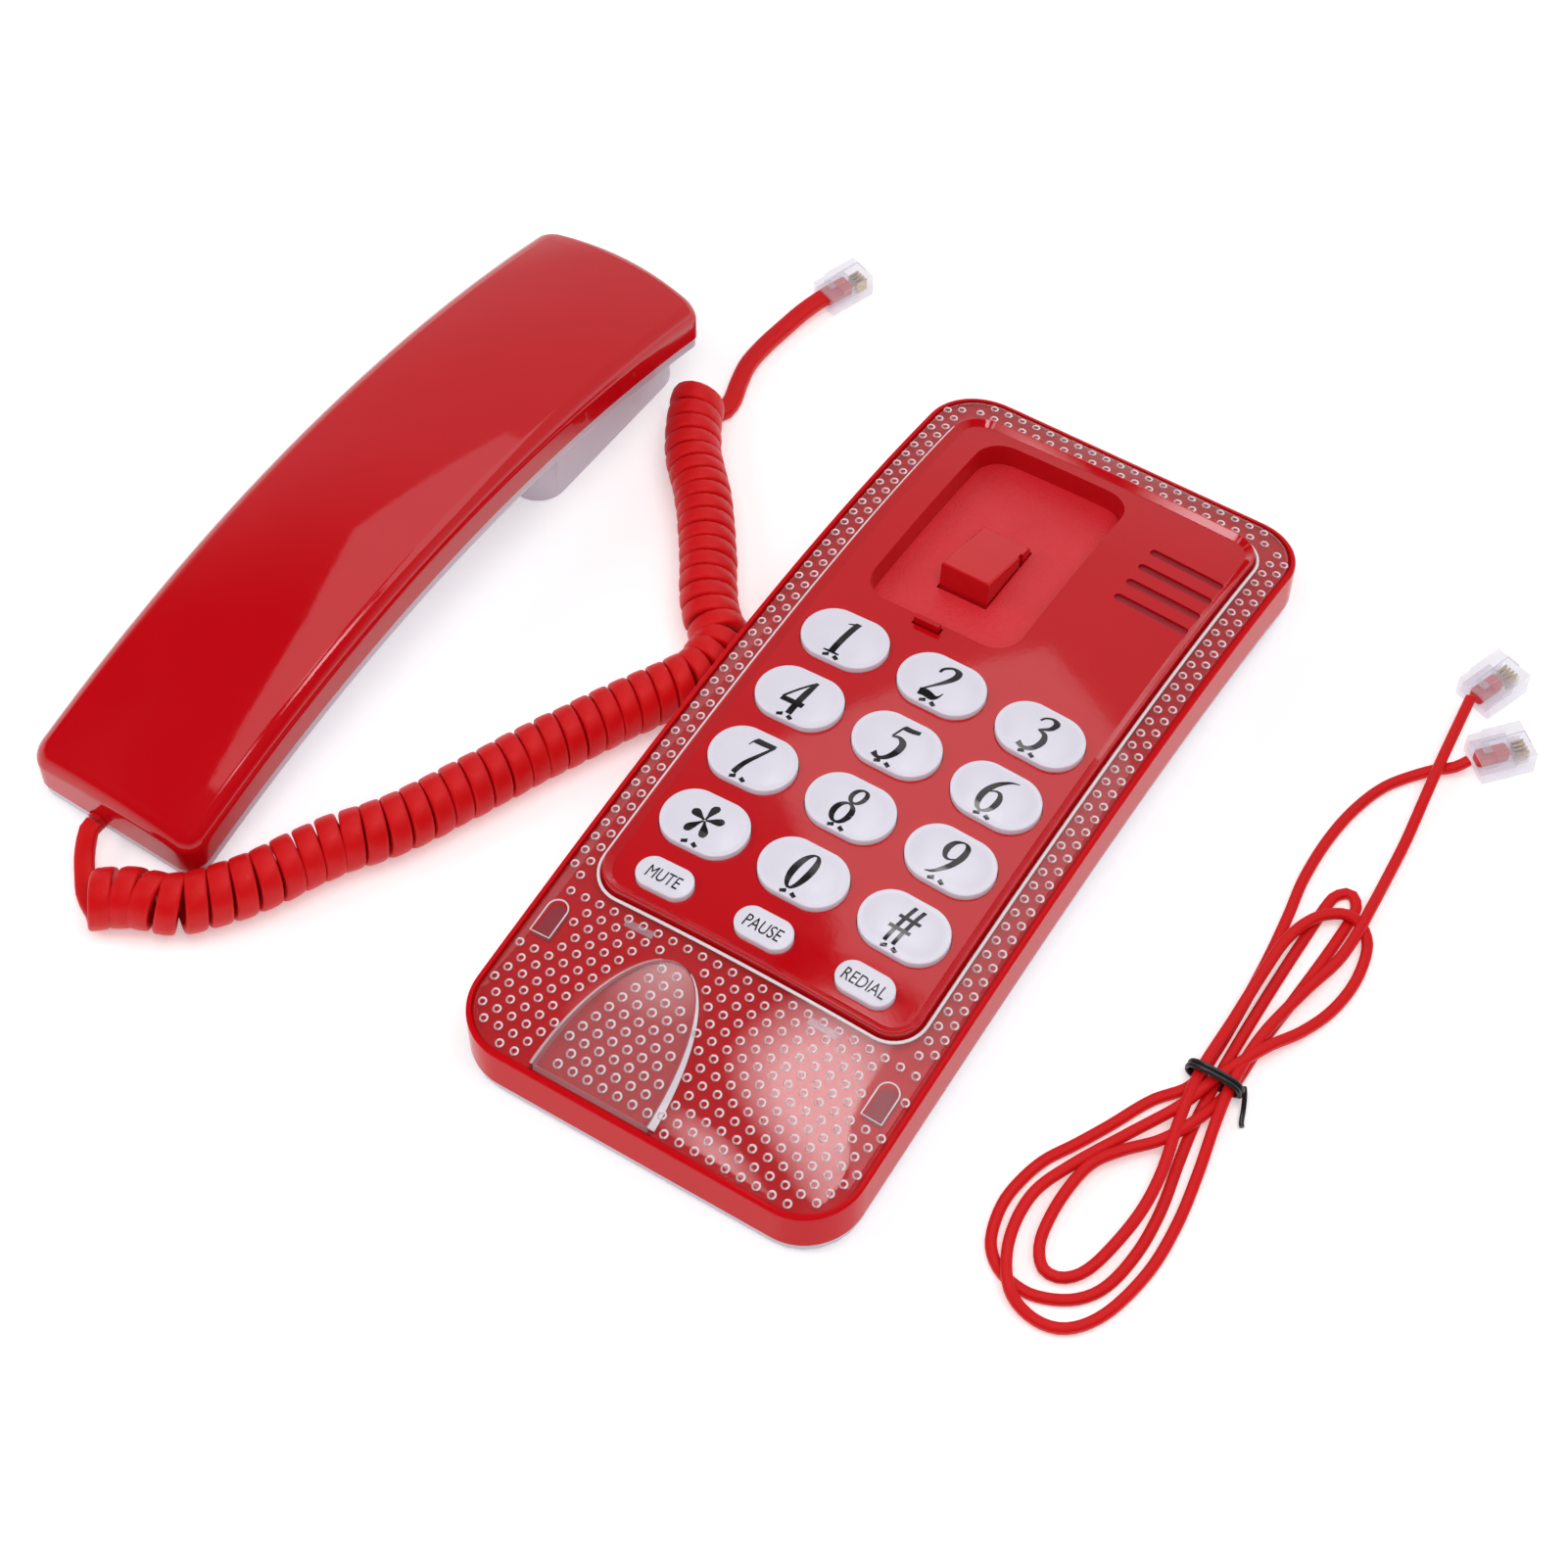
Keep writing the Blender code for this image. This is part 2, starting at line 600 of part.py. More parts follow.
def back_shell(parent):
    shell = add_object("handset_back_shell", handset_outline(0, 0, BACK_HEIGHT, 3.4 * MM), LOOK["red"], parent)
    cut(shell, handset_outline(BACK_WALL, -5 * MM, BACK_HEIGHT - BACK_WALL - BACK_CROWN))
    for x, y in HANDSET_BOSSES:
        join(shell, cylinder(2.6 * MM, 0.4 * MM, BACK_HEIGHT - BACK_WALL - BACK_CROWN + 0.5 * MM, 12, x, y))
        cut(shell, cylinder(1.25 * MM, -5 * MM, 5.5 * MM, 8, x, y))
    bend(shell, along_seam, steps(-HANDSET_WIDTH / 2, HANDSET_WIDTH / 2, 5), HANDSET_STATIONS)
    for vert in shell.data.vertices:
        above = vert.co.z - seam(vert.co.y)
        if above > BACK_HEIGHT - 3.5 * MM:
            vert.co.z -= BACK_CROWN * (2 * vert.co.x / HANDSET_WIDTH) ** 2
    cut(shell, lengthwise_hole(2.5 * MM))
    return shell


def front_shell(parent):
    """Pale tray with the deep earpiece block and the mouthpiece block, both of which rest on the desk."""
    shell = add_object("handset_front_shell", handset_outline(0.5 * MM, -FRONT_DEPTH, -GAP), LOOK["pale"], parent)
    cut(shell, handset_outline(0.5 * MM + FRONT_WALL, -FRONT_DEPTH + FRONT_WALL, 5 * MM))
    for x, y in HANDSET_BOSSES:
        join(shell, cylinder(3.6 * MM, -FRONT_DEPTH + 0.2 * MM, -GAP, 12, x, y))
        cut(shell, cylinder(2.6 * MM, -FRONT_DEPTH - 5 * MM, -FRONT_DEPTH + 1.6 * MM, 12, x, y))
        cut(shell, cylinder(1.4 * MM, -FRONT_DEPTH - 5 * MM, 5 * MM, 8, x, y))
    bend(shell, along_seam, (), HANDSET_STATIONS)
    for block in (
        slab(-EAR_HALF, EAR_HALF, EAR_Y0, EAR_Y1, 0, 1 * MM, 7 * MM, 4),
        slab(-MIC_HALF, MIC_HALF, MIC_Y0, MIC_Y1, 0.4 * MM, 1 * MM, 5 * MM, 4),
    ):
        raise_tops(block)
        join(shell, block)
    cut(shell, cylinder(CAPSULE_R + GAP, EAR_FLOOR, 40 * MM, 24, 0, EAR_Y))
    for i in range(6):
        angle = i * math.pi / 3
        cut(shell, cylinder(1 * MM, -5 * MM, 5 * MM, 6, 6 * MM * math.cos(angle), EAR_Y + 6 * MM * math.sin(angle)))
    cut(shell, cylinder(MIC_R + GAP, MIC_FLOOR, 40 * MM, 16, 0, MIC_Y))
    cut(shell, cylinder(0.8 * MM, -5 * MM, 5 * MM, 6, 0, MIC_Y))
    cut(shell, lengthwise_hole(2.5 * MM))
    return shell


def raise_tops(bm):
    """Lifts a block's top face into the shell's floor."""
    for place in HANDSET_STATIONS:
        everything = bm.verts[:] + bm.edges[:] + bm.faces[:]
        bmesh.ops.bisect_plane(bm, geom=everything, dist=1e-6, plane_co=(0, place, 0), plane_no=(0, 1, 0))
    bmesh.ops.triangulate(bm, faces=bm.faces[:])
    for vert in bm.verts:
        if vert.co.z > 0.9 * MM:
            vert.co.z = seam(vert.co.y) - FRONT_DEPTH + 0.6 * FRONT_WALL
    return bm


def handset_insides(parent):
    add_object(
        "receiver_capsule", cylinder(CAPSULE_R, EAR_FLOOR + GAP, EAR_FLOOR + 7 * MM, 24), LOOK["black"], parent,
        (0, EAR_Y, 0),
    )
    add_object(
        "microphone_capsule", cylinder(MIC_R, MIC_FLOOR + GAP, MIC_FLOOR + 3.5 * MM, 16), LOOK["black"], parent,
        (0, MIC_Y, 0),
    )
    add_object(
        "handset_ballast", box(-14 * MM, 14 * MM, -44 * MM, -20 * MM, 20.6 * MM, 23.6 * MM), LOOK["steel"], parent
    )
    for i, (x, y) in enumerate(HANDSET_BOSSES, 1):
        under = seam(y) - FRONT_DEPTH
        screw = add_object(
            f"handset_screw_{i}", cylinder(2.1 * MM, under + 0.2 * MM, under + 1.2 * MM, 12), LOOK["steel"],
            parent, (x, y, 0),
        )
        join(screw, cylinder(1.0 * MM, under + 0.8 * MM, under + 8 * MM, 8))
    grommet = cylinder(2.2 * MM, -0.8 * MM, 3.4 * MM, 12)
    bmesh.ops.rotate(grommet, matrix=Matrix.Rotation(math.radians(-90), 3, "X"), verts=grommet.verts)
    x, z = LEAD_HOLE
    add_object("cord_grommet", grommet, LOOK["black"], parent, (x, -HANDSET_LENGTH / 2, z))


# --- cords -----------------------------------------------------------------------------------

HANDSET_LEAD = [
    (-138.5, -96.3, 6.6), (-138.5, -98.4, 6.3), (-136.4, -102.8, 3.4), (-133.4, -108.0, 2.4),
    (-131.6, -112.4, 2.4), (-129.5, -114.1, 2.9), (-127.3, -112.3, 3.4),
]
COIL_LOWER = [
    (-126.6, -111.7), (-122.6, -108.4), (-118.7, -106.2), (-111.6, -103.4), (-105.6, -97.0), (-100.4, -89.3),
    (-96.6, -81.2), (-92.3, -73.4), (-87.3, -66.5), (-82.9, -58.7), (-79.0, -50.0), (-75.0, -41.4),
    (-71.2, -32.3), (-66.9, -23.8), (-62.8, -15.0), (-58.3, -6.6), (-54.5, 0.4), (-53.0, 4.2), (-53.0, 7.6),
]
COIL_UPPER = [
    (-53.0, 8.3), (-53.0, 11.6), (-54.8, 15.2), (-58.8, 18.4), (-64.0, 24.6), (-68.4, 31.4), (-73.2, 38.2),
    (-78.4, 45.1), (-83.4, 50.6), (-88.0, 55.6), (-92.2, 61.7), (-95.0, 66.9), (-96.6, 71.2),
]
PLUG_LEAD = [
    (-96.95, 72.1, 4.4), (-97.5, 74.3, 3.8), (-96.8, 79.0, 2.5), (-95.6, 84.0, 2.2), (-95.7, 90.0, 2.2),
    (-95.5, 96.9, 2.2), (-94.4, 103.9, 2.4), (-93.1, 110.4, 2.9), (-91.6, 115.6, 3.3),
]
LINE_ROUTE = [
    (97.0, 74.4, 3.3), (95.0, 71.6, 3.0), (90.4, 68.4, 2.0), (84.8, 61.0, 1.7), (81.8, 52.0, 1.7),
    (80.5, 41.7, 1.7), (80.7, 30.1, 1.7), (82.2, 20.0, 1.7), (83.6, 8.0, 1.7), (84.6, -6.4, 1.9),
    (85.0, -18.0, 2.5), (84.5, -27.0, 2.5), (79.4, -34.0, 1.7), (75.1, -43.5, 1.7), (71.5, -50.8, 1.7),
    (68.2, -56.9, 1.7), (66.5, -62.9, 1.7), (65.9, -69.2, 1.7), (67.0, -75.4, 1.7), (69.1, -79.8, 1.7),
    (73.1, -83.0, 1.7), (78.7, -84.2, 1.7), (83.2, -83.3, 1.7), (87.6, -80.9, 1.7), (90.8, -77.2, 1.7),
    (92.6, -72.1, 1.7), (93.4, -64.8, 1.7), (93.2, -58.3, 1.7), (92.4, -52.0, 1.7), (90.8, -44.0, 1.7),
    (89.2, -34.0, 1.9), (88.4, -24.0, 2.5), (87.9, -14.0, 2.2), (87.6, 0.8, 1.7), (87.6, 14.0, 1.7),
    (87.8, 26.0, 1.7), (90.4, 32.4, 1.7), (93.6, 28.0, 1.7), (93.4, 16.0, 1.7), (92.6, 2.0, 1.7),
    (91.8, -10.0, 2.2), (91.6, -24.0, 2.5), (89.4, -34.0, 4.6), (85.6, -42.0, 5.2), (80.4, -48.0, 5.2),
    (76.6, -54.1, 5.2), (75.4, -62.0, 4.6), (75.6, -69.3, 3.6), (76.8, -74.6, 3.0), (79.8, -78.4, 3.0),
    (83.8, -78.2, 3.0), (87.0, -74.6, 3.4), (89.0, -68.0, 5.2), (90.0, -58.0, 5.2), (89.2, -48.0, 5.2),
    (86.6, -36.0, 5.6), (84.9, -24.0, 5.9), (84.8, -10.0, 5.4), (84.6, 4.0, 5.1), (85.0, 14.0, 5.1),
    (88.0, 22.0, 5.1), (93.6, 25.6, 5.1), (99.0, 22.6, 3.0), (101.2, 14.0, 2.0), (100.5, 4.5, 2.0),
    (97.6, -4.0, 3.0), (93.4, -12.0, 5.4), (88.6, -23.0, 5.9), (85.2, -33.0, 5.2), (79.6, -44.0, 5.1),
    (73.6, -56.0, 5.1), (70.2, -66.0, 5.1), (71.4, -77.0, 5.1), (76.3, -85.7, 4.6), (83.0, -88.6, 3.0),
    (89.7, -87.0, 2.4), (94.6, -80.0, 1.9), (97.2, -68.0, 1.8), (97.0, -56.0, 1.8), (95.2, -44.0, 2.6),
    (92.8, -32.0, 5.2), (91.6, -23.0, 5.9), (91.4, -10.0, 5.2), (93.8, 4.0, 5.1), (96.2, 14.0, 5.1),
    (96.6, 22.0, 5.1), (96.2, 30.0, 5.1), (95.4, 40.0, 3.0), (94.6, 50.0, 3.0), (93.2, 62.0, 5.4),
    (91.8, 74.0, 6.4), (91.0, 82.0, 5.0), (90.2, 89.6, 3.6),
]
TIE_AT = (88.2 * MM, -24.0 * MM)


def route(points):
    """Vectors in metres; a point without a height lies at the coil's radius above the desk."""
    return [Vector(p if len(p) == 3 else (*p, COIL_R / MM)) * MM for p in points]


def smooth(raw, spacing):
    """Points at an even spacing along a smooth curve through the given ones."""
    ends = [2 * raw[0] - raw[1]] + raw + [2 * raw[-1] - raw[-2]]
    dense = []
    for i in range(len(raw) - 1):
        a, b, c, d = ends[i : i + 4]
        for k in range(12):
            t = k / 12
            linear = (c - a) * t
            square = (2 * a - 5 * b + 4 * c - d) * t * t
            cube = (3 * b - a - 3 * c + d) * t**3
            dense.append(b + 0.5 * (linear + square + cube))
    dense.append(raw[-1])
    reach = [0.0]
    for p, q in zip(dense, dense[1:]):
        reach.append(reach[-1] + (q - p).length)
    count = max(2, round(reach[-1] / spacing))
    out = []
    i = 0
    for k in range(count + 1):
        want = reach[-1] * k / count
        while i < len(reach) - 2 and reach[i + 1] < want:
            i += 1
        part = (want - reach[i]) / (reach[i + 1] - reach[i])
        out.append(dense[i].lerp(dense[i + 1], min(1.0, part)))
    return out


def tube(name, points, radius, spacing, sides, look, parent):
    """A round tube along the points, with flat ends."""
    raw = route(points)
    line = smooth(raw, spacing)
    last = len(line) - 1
    bm = bmesh.new()
    rings = []
    normal = Vector((0, 0, 1))
    for i, at in enumerate(line):
        if i == 0:
            ahead = raw[1] - raw[0]
        elif i == last:
            ahead = raw[-1] - raw[-2]
        else:
            ahead = line[i + 1] - line[i - 1]
        ahead.normalize()
        side = ahead.cross(normal).normalized()
        up = side.cross(ahead).normalized()
        ring = []
        for k in range(sides):
            angle = 2 * math.pi * (k + 0.5) / sides
            ring.append(bm.verts.new(at + radius * (math.cos(angle) * side + math.sin(angle) * up)))
        rings.append(ring)
    for first, second in zip(rings, rings[1:]):
        for k in range(sides):
            following = (k + 1) % sides
            bm.faces.new((first[k], first[following], second[following], second[k]))
    bm.faces.new(rings[0])
    bm.faces.new(rings[-1])
    return add_object(name, bm, look, parent)


def modular_plug(name, width, at, turn, parent):
    """A modular plug that points along its own +Y from its cord's entry; its latch lies on top."""
    length = 12.0 * MM
    height = 6.0 * MM
    plug = add_object(
        name, box(-width / 2, width / 2, 0, length, 0.3 * MM, 0.3 * MM + height), LOOK["clear"], parent,
        (at[0] * MM, at[1] * MM, 0),
    )
    latch = box(-1.6 * MM, 1.6 * MM, 1 * MM, length - 0.5 * MM, height, height + 1.3 * MM)
    join(plug, latch)
    plug.rotation_euler.z = math.radians(turn)
    return plug


def cords(parent):
    tube("handset_lead", HANDSET_LEAD, LEAD_D / 2, 3.2 * MM, 10, LOOK["red"], parent)
    tube("coil_lower", COIL_LOWER, COIL_R, 9 * MM, 12, LOOK["red"], parent)
    tube("coil_upper", COIL_UPPER, COIL_R, 7 * MM, 12, LOOK["red"], parent)
    tube("plug_lead", PLUG_LEAD, LEAD_D / 2, 5 * MM, 10, LOOK["red"], parent)
    modular_plug("handset_plug", 7.65 * MM, (-91.2, 116.4), -20, parent)
    tube("line_cord", LINE_ROUTE, LINE_D / 2, 11 * MM, 8, LOOK["red"], parent)
    modular_plug("line_plug_a", 9.65 * MM, (90.6, 90.4), -19, parent)
    modular_plug("line_plug_b", 9.65 * MM, (97.9, 75.6), -41, parent)
    ring = slab(-6.4 * MM, 6.4 * MM, -1.8 * MM, 1.8 * MM, 0, 8.7 * MM, 1.2 * MM, 2)
    tie = add_object("twist_tie", ring, LOOK["black"], parent, (*TIE_AT, 0))
    cut(tie, box(-5.7 * MM, 5.7 * MM, -5 * MM, 5 * MM, 0.7 * MM, 7.9 * MM))


# --- the whole phone -------------------------------------------------------------------------

clear_scene()
PARTS = new_collection("parts")
CUTTERS = new_collection("cutters", hidden=True)
LOOK = {
    "red": material("red_plastic", RED, 0.12),
    "clear": material("clear_plastic", (0.95, 0.95, 0.97), 0.08, alpha=0.35),
    "pale": material("pale_plastic", (0.82, 0.81, 0.83), 0.3),
    "key": material("key_plastic", PALE, 0.15),
    "black": material("black_plastic", (0.02, 0.02, 0.02), 0.4),
    "rubber": material("rubber", (0.05, 0.05, 0.05), 0.8),
    "board": material("board", (0.02, 0.2, 0.08), 0.5),
    "brass": material("brass", (0.75, 0.55, 0.2), 0.3, 1.0),
    "steel": material("steel", (0.6, 0.6, 0.62), 0.3, 1.0),
}

PHONE = empty("phone_origin", (BASE_X, 0, 0))
HANDSET = empty("handset_origin", (*HANDSET_AT, 0), PHONE, HANDSET_YAW)

front_housing(PHONE)
rear_cover(PHONE)
clear_cover(PHONE)
face_panel(PHONE)
keys(PHONE)
hook_parts(PHONE)
electronics(PHONE)
sockets(PHONE)
screws_and_feet(PHONE)
back_shell(HANDSET)
front_shell(HANDSET)
handset_insides(HANDSET)
cords(PHONE)
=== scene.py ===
import json
import math

import bmesh
import bpy
import numpy as np
from mathutils import Matrix, Vector

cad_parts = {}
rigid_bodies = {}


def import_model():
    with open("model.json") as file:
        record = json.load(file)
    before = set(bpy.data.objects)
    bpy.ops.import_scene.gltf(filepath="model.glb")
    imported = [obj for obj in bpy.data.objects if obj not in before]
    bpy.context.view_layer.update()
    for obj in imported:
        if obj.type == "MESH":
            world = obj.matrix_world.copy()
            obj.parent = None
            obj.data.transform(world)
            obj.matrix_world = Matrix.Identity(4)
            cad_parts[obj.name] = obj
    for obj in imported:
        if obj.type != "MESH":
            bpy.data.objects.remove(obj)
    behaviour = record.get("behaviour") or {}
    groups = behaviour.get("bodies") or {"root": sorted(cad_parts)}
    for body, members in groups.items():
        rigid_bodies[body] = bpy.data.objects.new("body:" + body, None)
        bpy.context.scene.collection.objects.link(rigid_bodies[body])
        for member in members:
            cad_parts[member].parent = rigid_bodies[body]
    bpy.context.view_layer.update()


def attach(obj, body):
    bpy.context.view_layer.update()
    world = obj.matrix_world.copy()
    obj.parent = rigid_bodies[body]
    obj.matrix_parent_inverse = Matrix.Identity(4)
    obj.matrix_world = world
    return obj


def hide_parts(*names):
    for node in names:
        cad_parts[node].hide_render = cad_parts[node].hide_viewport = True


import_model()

MM = 0.001
BASE_X = 55.84 * MM
GAP = 0.35 * MM  # between parts that fit together
PAST, TALL = 5 * MM, 30 * MM  # how far a cutter reaches past a surface, and one that goes through all

# Sizes of the base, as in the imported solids
BASE_LENGTH, BASE_WIDTH, CORNER_R = 203 * MM, 90.6 * MM, 13 * MM
ARCH, ARCH_SKEW, CROWN = 8.5 * MM, 2.6 * MM, 2.4 * MM
REAR_TOP, WALL, RIM_TOP, RIM_WALL = 2.8 * MM, 2.2 * MM, 13.9 * MM, 1.1 * MM
DECK_TOP, DECK_THICK, COVER_TOP, COVER_THICK = 11.8 * MM, 1.5 * MM, 14.0 * MM, 1.8 * MM
FACE_TOP, FACE_THICK, FACE_SKIRT, FACE_WALL, LEDGE = 16.2 * MM, 2.0 * MM, 12.15 * MM, 1.5 * MM, 2.4 * MM
FACE_X, FACE_Y0, FACE_Y1, FACE_R = 37.3 * MM, -60.2 * MM, 92.0 * MM, 7 * MM
POCKET = (-29.4 * MM, 8.0 * MM, 30.0 * MM, 87.3 * MM)
POCKET_R, POCKET_DEPTH, POCKET_DRAFT = 6.5 * MM, 7.0 * MM, 0.8 * MM
MOUTH_X, MOUTH_Y, MOUTH_HALF, MOUTH_LENGTH = -11.2 * MM, -99.0 * MM, 13.4 * MM, 32 * MM
MOUTH_DEPTH, MOUTH_FLOOR = 2.6 * MM, 1.2 * MM
SCOOP_RISE, SCOOP_LEVEL = 1.8 * MM, 11.9 * MM
FACE_CHAMFER, CHAMFER_ROUND, FACE_EDGE = (2.3 * MM, 1.3 * MM), 0.35 * MM, 0.14 * MM
POCKET_WALL_TOP = FACE_TOP - 1.9 * MM
KEY_PITCH = (23.6 * MM, 18.05 * MM)
KEY_TOP_Y, KEY_SIZE, KEY_PLAY = 16.0 * MM, (19.7 * MM, 13.5 * MM), 0.3 * MM
FUNCTION_Y, FUNCTION_SIZE = -53.0 * MM, (13.0 * MM, 7.2 * MM)
HOOK_SLOT = (-17.35 * MM, -5.05 * MM, 43.5 * MM, 63.8 * MM)
TAB = (-14.0 * MM, -8.0 * MM, 28.0 * MM, 29.2 * MM)
SLOT_X, SLOT_YS, SLOT_SIZE = 26.6 * MM, (58.7 * MM, 64.1 * MM, 69.6 * MM, 75.1 * MM), (17.8 * MM, 2.1 * MM)
# Where the darker red sheet lies that paints the shade under the grille slots
GRILLE_SHADE_SHEET = (17 * MM, 35.6 * MM, 56 * MM, 78 * MM, FACE_TOP - 2.6 * MM, FACE_TOP - 2.05 * MM)
LINE_SOCKET, HANDSET_SOCKET = (-26.0 * MM, 101.5 * MM), (-45.3 * MM, -46.0 * MM)

# Sizes of the handset
HANDSET_AT, HANDSET_YAW = (-130.3 * MM, -3.3 * MM), -2.6
H_LENGTH, H_WIDTH, H_R = 184 * MM, 45.5 * MM, 5.0 * MM
SEAM_NEAR, SEAM_MIDDLE, SEAM_FAR = 6.6 * MM, 23.4 * MM, 12.4 * MM
BACK_HEIGHT, BACK_CROWN, FRONT_DEPTH = 10.6 * MM, 2.4 * MM, 3.6 * MM
H_BOW_FROM, H_BOW = 74 * MM, (1.0 * MM, 3.2 * MM)


# --- shaders ---------------------------------------------------------------------------------

class Look:
    """A material under construction: node() adds a node and link() joins two sockets."""

    def __init__(self, name):
        self.mat = bpy.data.materials.new(name)
        self.mat.use_nodes = True
        self.tree = self.mat.node_tree
        self.tree.nodes.clear()
        self.out = self.node("ShaderNodeOutputMaterial")

    def node(self, kind, **sets):
        made = self.tree.nodes.new(kind)
        for key, value in sets.items():
            if key in made.inputs:
                made.inputs[key].default_value = value
            else:
                setattr(made, key, value)
        return made

    def link(self, a, b):
        self.tree.links.new(a, b)

    def noise(self, scale, detail=2.0, rough=0.5):
        place = self.node("ShaderNodeTexCoord")
        made = self.node("ShaderNodeTexNoise", Scale=scale, Detail=detail, Roughness=rough)
        self.link(place.outputs["Object"], made.inputs["Vector"])
        return made.outputs["Fac"]

    def span(self, value, low, high, new_low, new_high):
        made = self.node("ShaderNodeMapRange")
        for i, number in enumerate((low, high, new_low, new_high), 1):
            made.inputs[i].default_value = number
        self.link(value, made.inputs[0])
        return made.outputs[0]

    def blend(self, value, first, second):
        made = self.node("ShaderNodeMix", data_type="RGBA")
        made.inputs[6].default_value = (*first, 1)
        made.inputs[7].default_value = (*second, 1)
        self.link(value, made.inputs[0])
        return made.outputs[2]

    def bump(self, height, strength, distance):
        made = self.node("ShaderNodeBump", Strength=strength, Distance=distance)
        self.link(height, made.inputs["Height"])
        return made.outputs["Normal"]


def plastic(name, color, other, rough, grain=900.0, grain_height=0.00002, rough_span=0.04, shine=0.5):
    """Moulded plastic: slight colour drift, a roughness that varies, and a fine surface grain."""
    look = Look(name)
    body = look.node("ShaderNodeBsdfPrincipled", Roughness=rough, IOR=1.5)
    look.link(look.blend(look.noise(60.0, 3.0), color, other), body.inputs["Base Color"])
    roughness = look.span(look.noise(240.0, 4.0), 0.3, 0.7, rough, rough + rough_span)
    look.link(roughness, body.inputs["Roughness"])
    look.link(look.bump(look.noise(grain, 2.0), 0.25, grain_height), body.inputs["Normal"])
    body.inputs["Specular IOR Level"].default_value = shine
    look.link(body.outputs[0], look.out.inputs[0])
    return look.mat


def metal(name, color, rough):
    look = Look(name)
    body = look.node("ShaderNodeBsdfPrincipled", Metallic=1.0)
    look.link(look.blend(look.noise(300.0), color, [0.8 * c for c in color]), body.inputs["Base Color"])
    look.link(look.span(look.noise(700.0), 0.3, 0.7, rough, rough + 0.12), body.inputs["Roughness"])
    look.link(body.outputs[0], look.out.inputs[0])
    return look.mat


def clear(name, tint, haze_and_highlight, rough=0.04):
    """Clear plastic that doesn't bend light: a mirror by Fresnel over see-through, with a milky share that is
    real haze in some copies and paints highlights in others.
    """
    look = Look(name)
    through = look.node("ShaderNodeBsdfTransparent", Color=(*tint, 1))
    shine = look.node("ShaderNodeBsdfGlossy", Color=(1, 1, 1, 1), Roughness=rough)
    pale = look.node("ShaderNodeBsdfDiffuse", Color=(0.95, 0.94, 0.97, 1))
    edge = look.node("ShaderNodeFresnel", IOR=1.5)
    side = look.node("ShaderNodeNewGeometry")
    front = look.node("ShaderNodeMath", operation="SUBTRACT")
    front.inputs[0].default_value = 1.0
    outer = look.node("ShaderNodeMath", operation="MULTIPLY")
    look.link(side.outputs["Backfacing"], front.inputs[1])
    look.link(edge.outputs[0], outer.inputs[0])
    look.link(front.outputs[0], outer.inputs[1])
    first = look.node("ShaderNodeMixShader", Fac=haze_and_highlight)
    second = look.node("ShaderNodeMixShader")
    look.link(look.bump(look.noise(60.0, 1.0), 0.05, 0.00005), shine.inputs["Normal"])
    look.link(through.outputs[0], first.inputs[1])
    look.link(pale.outputs[0], first.inputs[2])
    look.link(outer.outputs[0], second.inputs[0])
    look.link(first.outputs[0], second.inputs[1])
    look.link(shine.outputs[0], second.inputs[2])
    look.link(second.outputs[0], look.out.inputs[0])
    return look.mat


RED = plastic("red_gloss", (0.56, 0.0035, 0.008), (0.52, 0.0025, 0.007), 0.05)
RED_SIDE = plastic("red_side", (0.60, 0.004, 0.008), (0.57, 0.003, 0.007), 0.12, 900.0, 0.000004, 0.02, 0.08)
RED_SATIN = plastic("red_satin", (0.64, 0.008, 0.013), (0.60, 0.006, 0.010), 0.20, 2600.0, 0.00002, 0.06, 0.3)
RED_GRAINED = plastic("red_grained", (0.74, 0.030, 0.042), (0.60, 0.014, 0.022), 0.36, 1800.0, 0.0007, 0.12)
RED_CORD = plastic("red_cord", (0.66, 0.006, 0.008), (0.60, 0.004, 0.006), 0.34, 1500.0, 0.00006, 0.12, 0.25)
PALE = plastic("pale_gloss", (0.60, 0.55, 0.62), (0.56, 0.51, 0.59), 0.22)
WHITE_KEY = plastic("white_key", (0.76, 0.735, 0.82), (0.72, 0.70, 0.79), 0.30, shine=0.6)
INK = plastic("ink", (0.006, 0.006, 0.008), (0.014, 0.014, 0.016), 0.12)
BLACK = plastic("black_gloss", (0.010, 0.010, 0.011), (0.018, 0.018, 0.020), 0.16)
DARK = plastic("dark_inside", (0.05, 0.004, 0.005), (0.03, 0.003, 0.004), 0.5)
RUBBER = plastic("rubber_foot", (0.03, 0.03, 0.03), (0.05, 0.05, 0.05), 0.7, 1500.0, 0.0001)
CLEAR = clear("clear_plastic", (0.97, 0.95, 0.96), 0.012)
CLEAR_FLOOR = clear("clear_scoop", (0.95, 0.93, 0.95), 0.085)
# Painted highlight: the milky clear of the scoop's walls and of one scoop glint.
CLEAR_WALL_HIGHLIGHT = clear("clear_wall_highlight", (0.95, 0.93, 0.95), 0.34)
# Painted highlight: the milky clear of the lip along the cover's edge.
CLEAR_EDGE_HIGHLIGHT = clear("clear_edge_highlight", (0.95, 0.93, 0.95), 0.85, 0.06)
# Painted highlight: the bright milky clear of the dimple rings, window rims and one scoop glint.
CLEAR_PAINTED_HIGHLIGHT = clear("clear_painted_highlight", (0.95, 0.92, 0.94), 0.72, 0.05)
# The fainter painted highlight on one arc of each dimple ring.
CLEAR_FAINT_HIGHLIGHT = clear("clear_faint_highlight", (0.92, 0.86, 0.88), 0.30, 0.05)
CLEAR_PLUG = clear("clear_plug", (0.93, 0.92, 0.95), 0.16, 0.03)
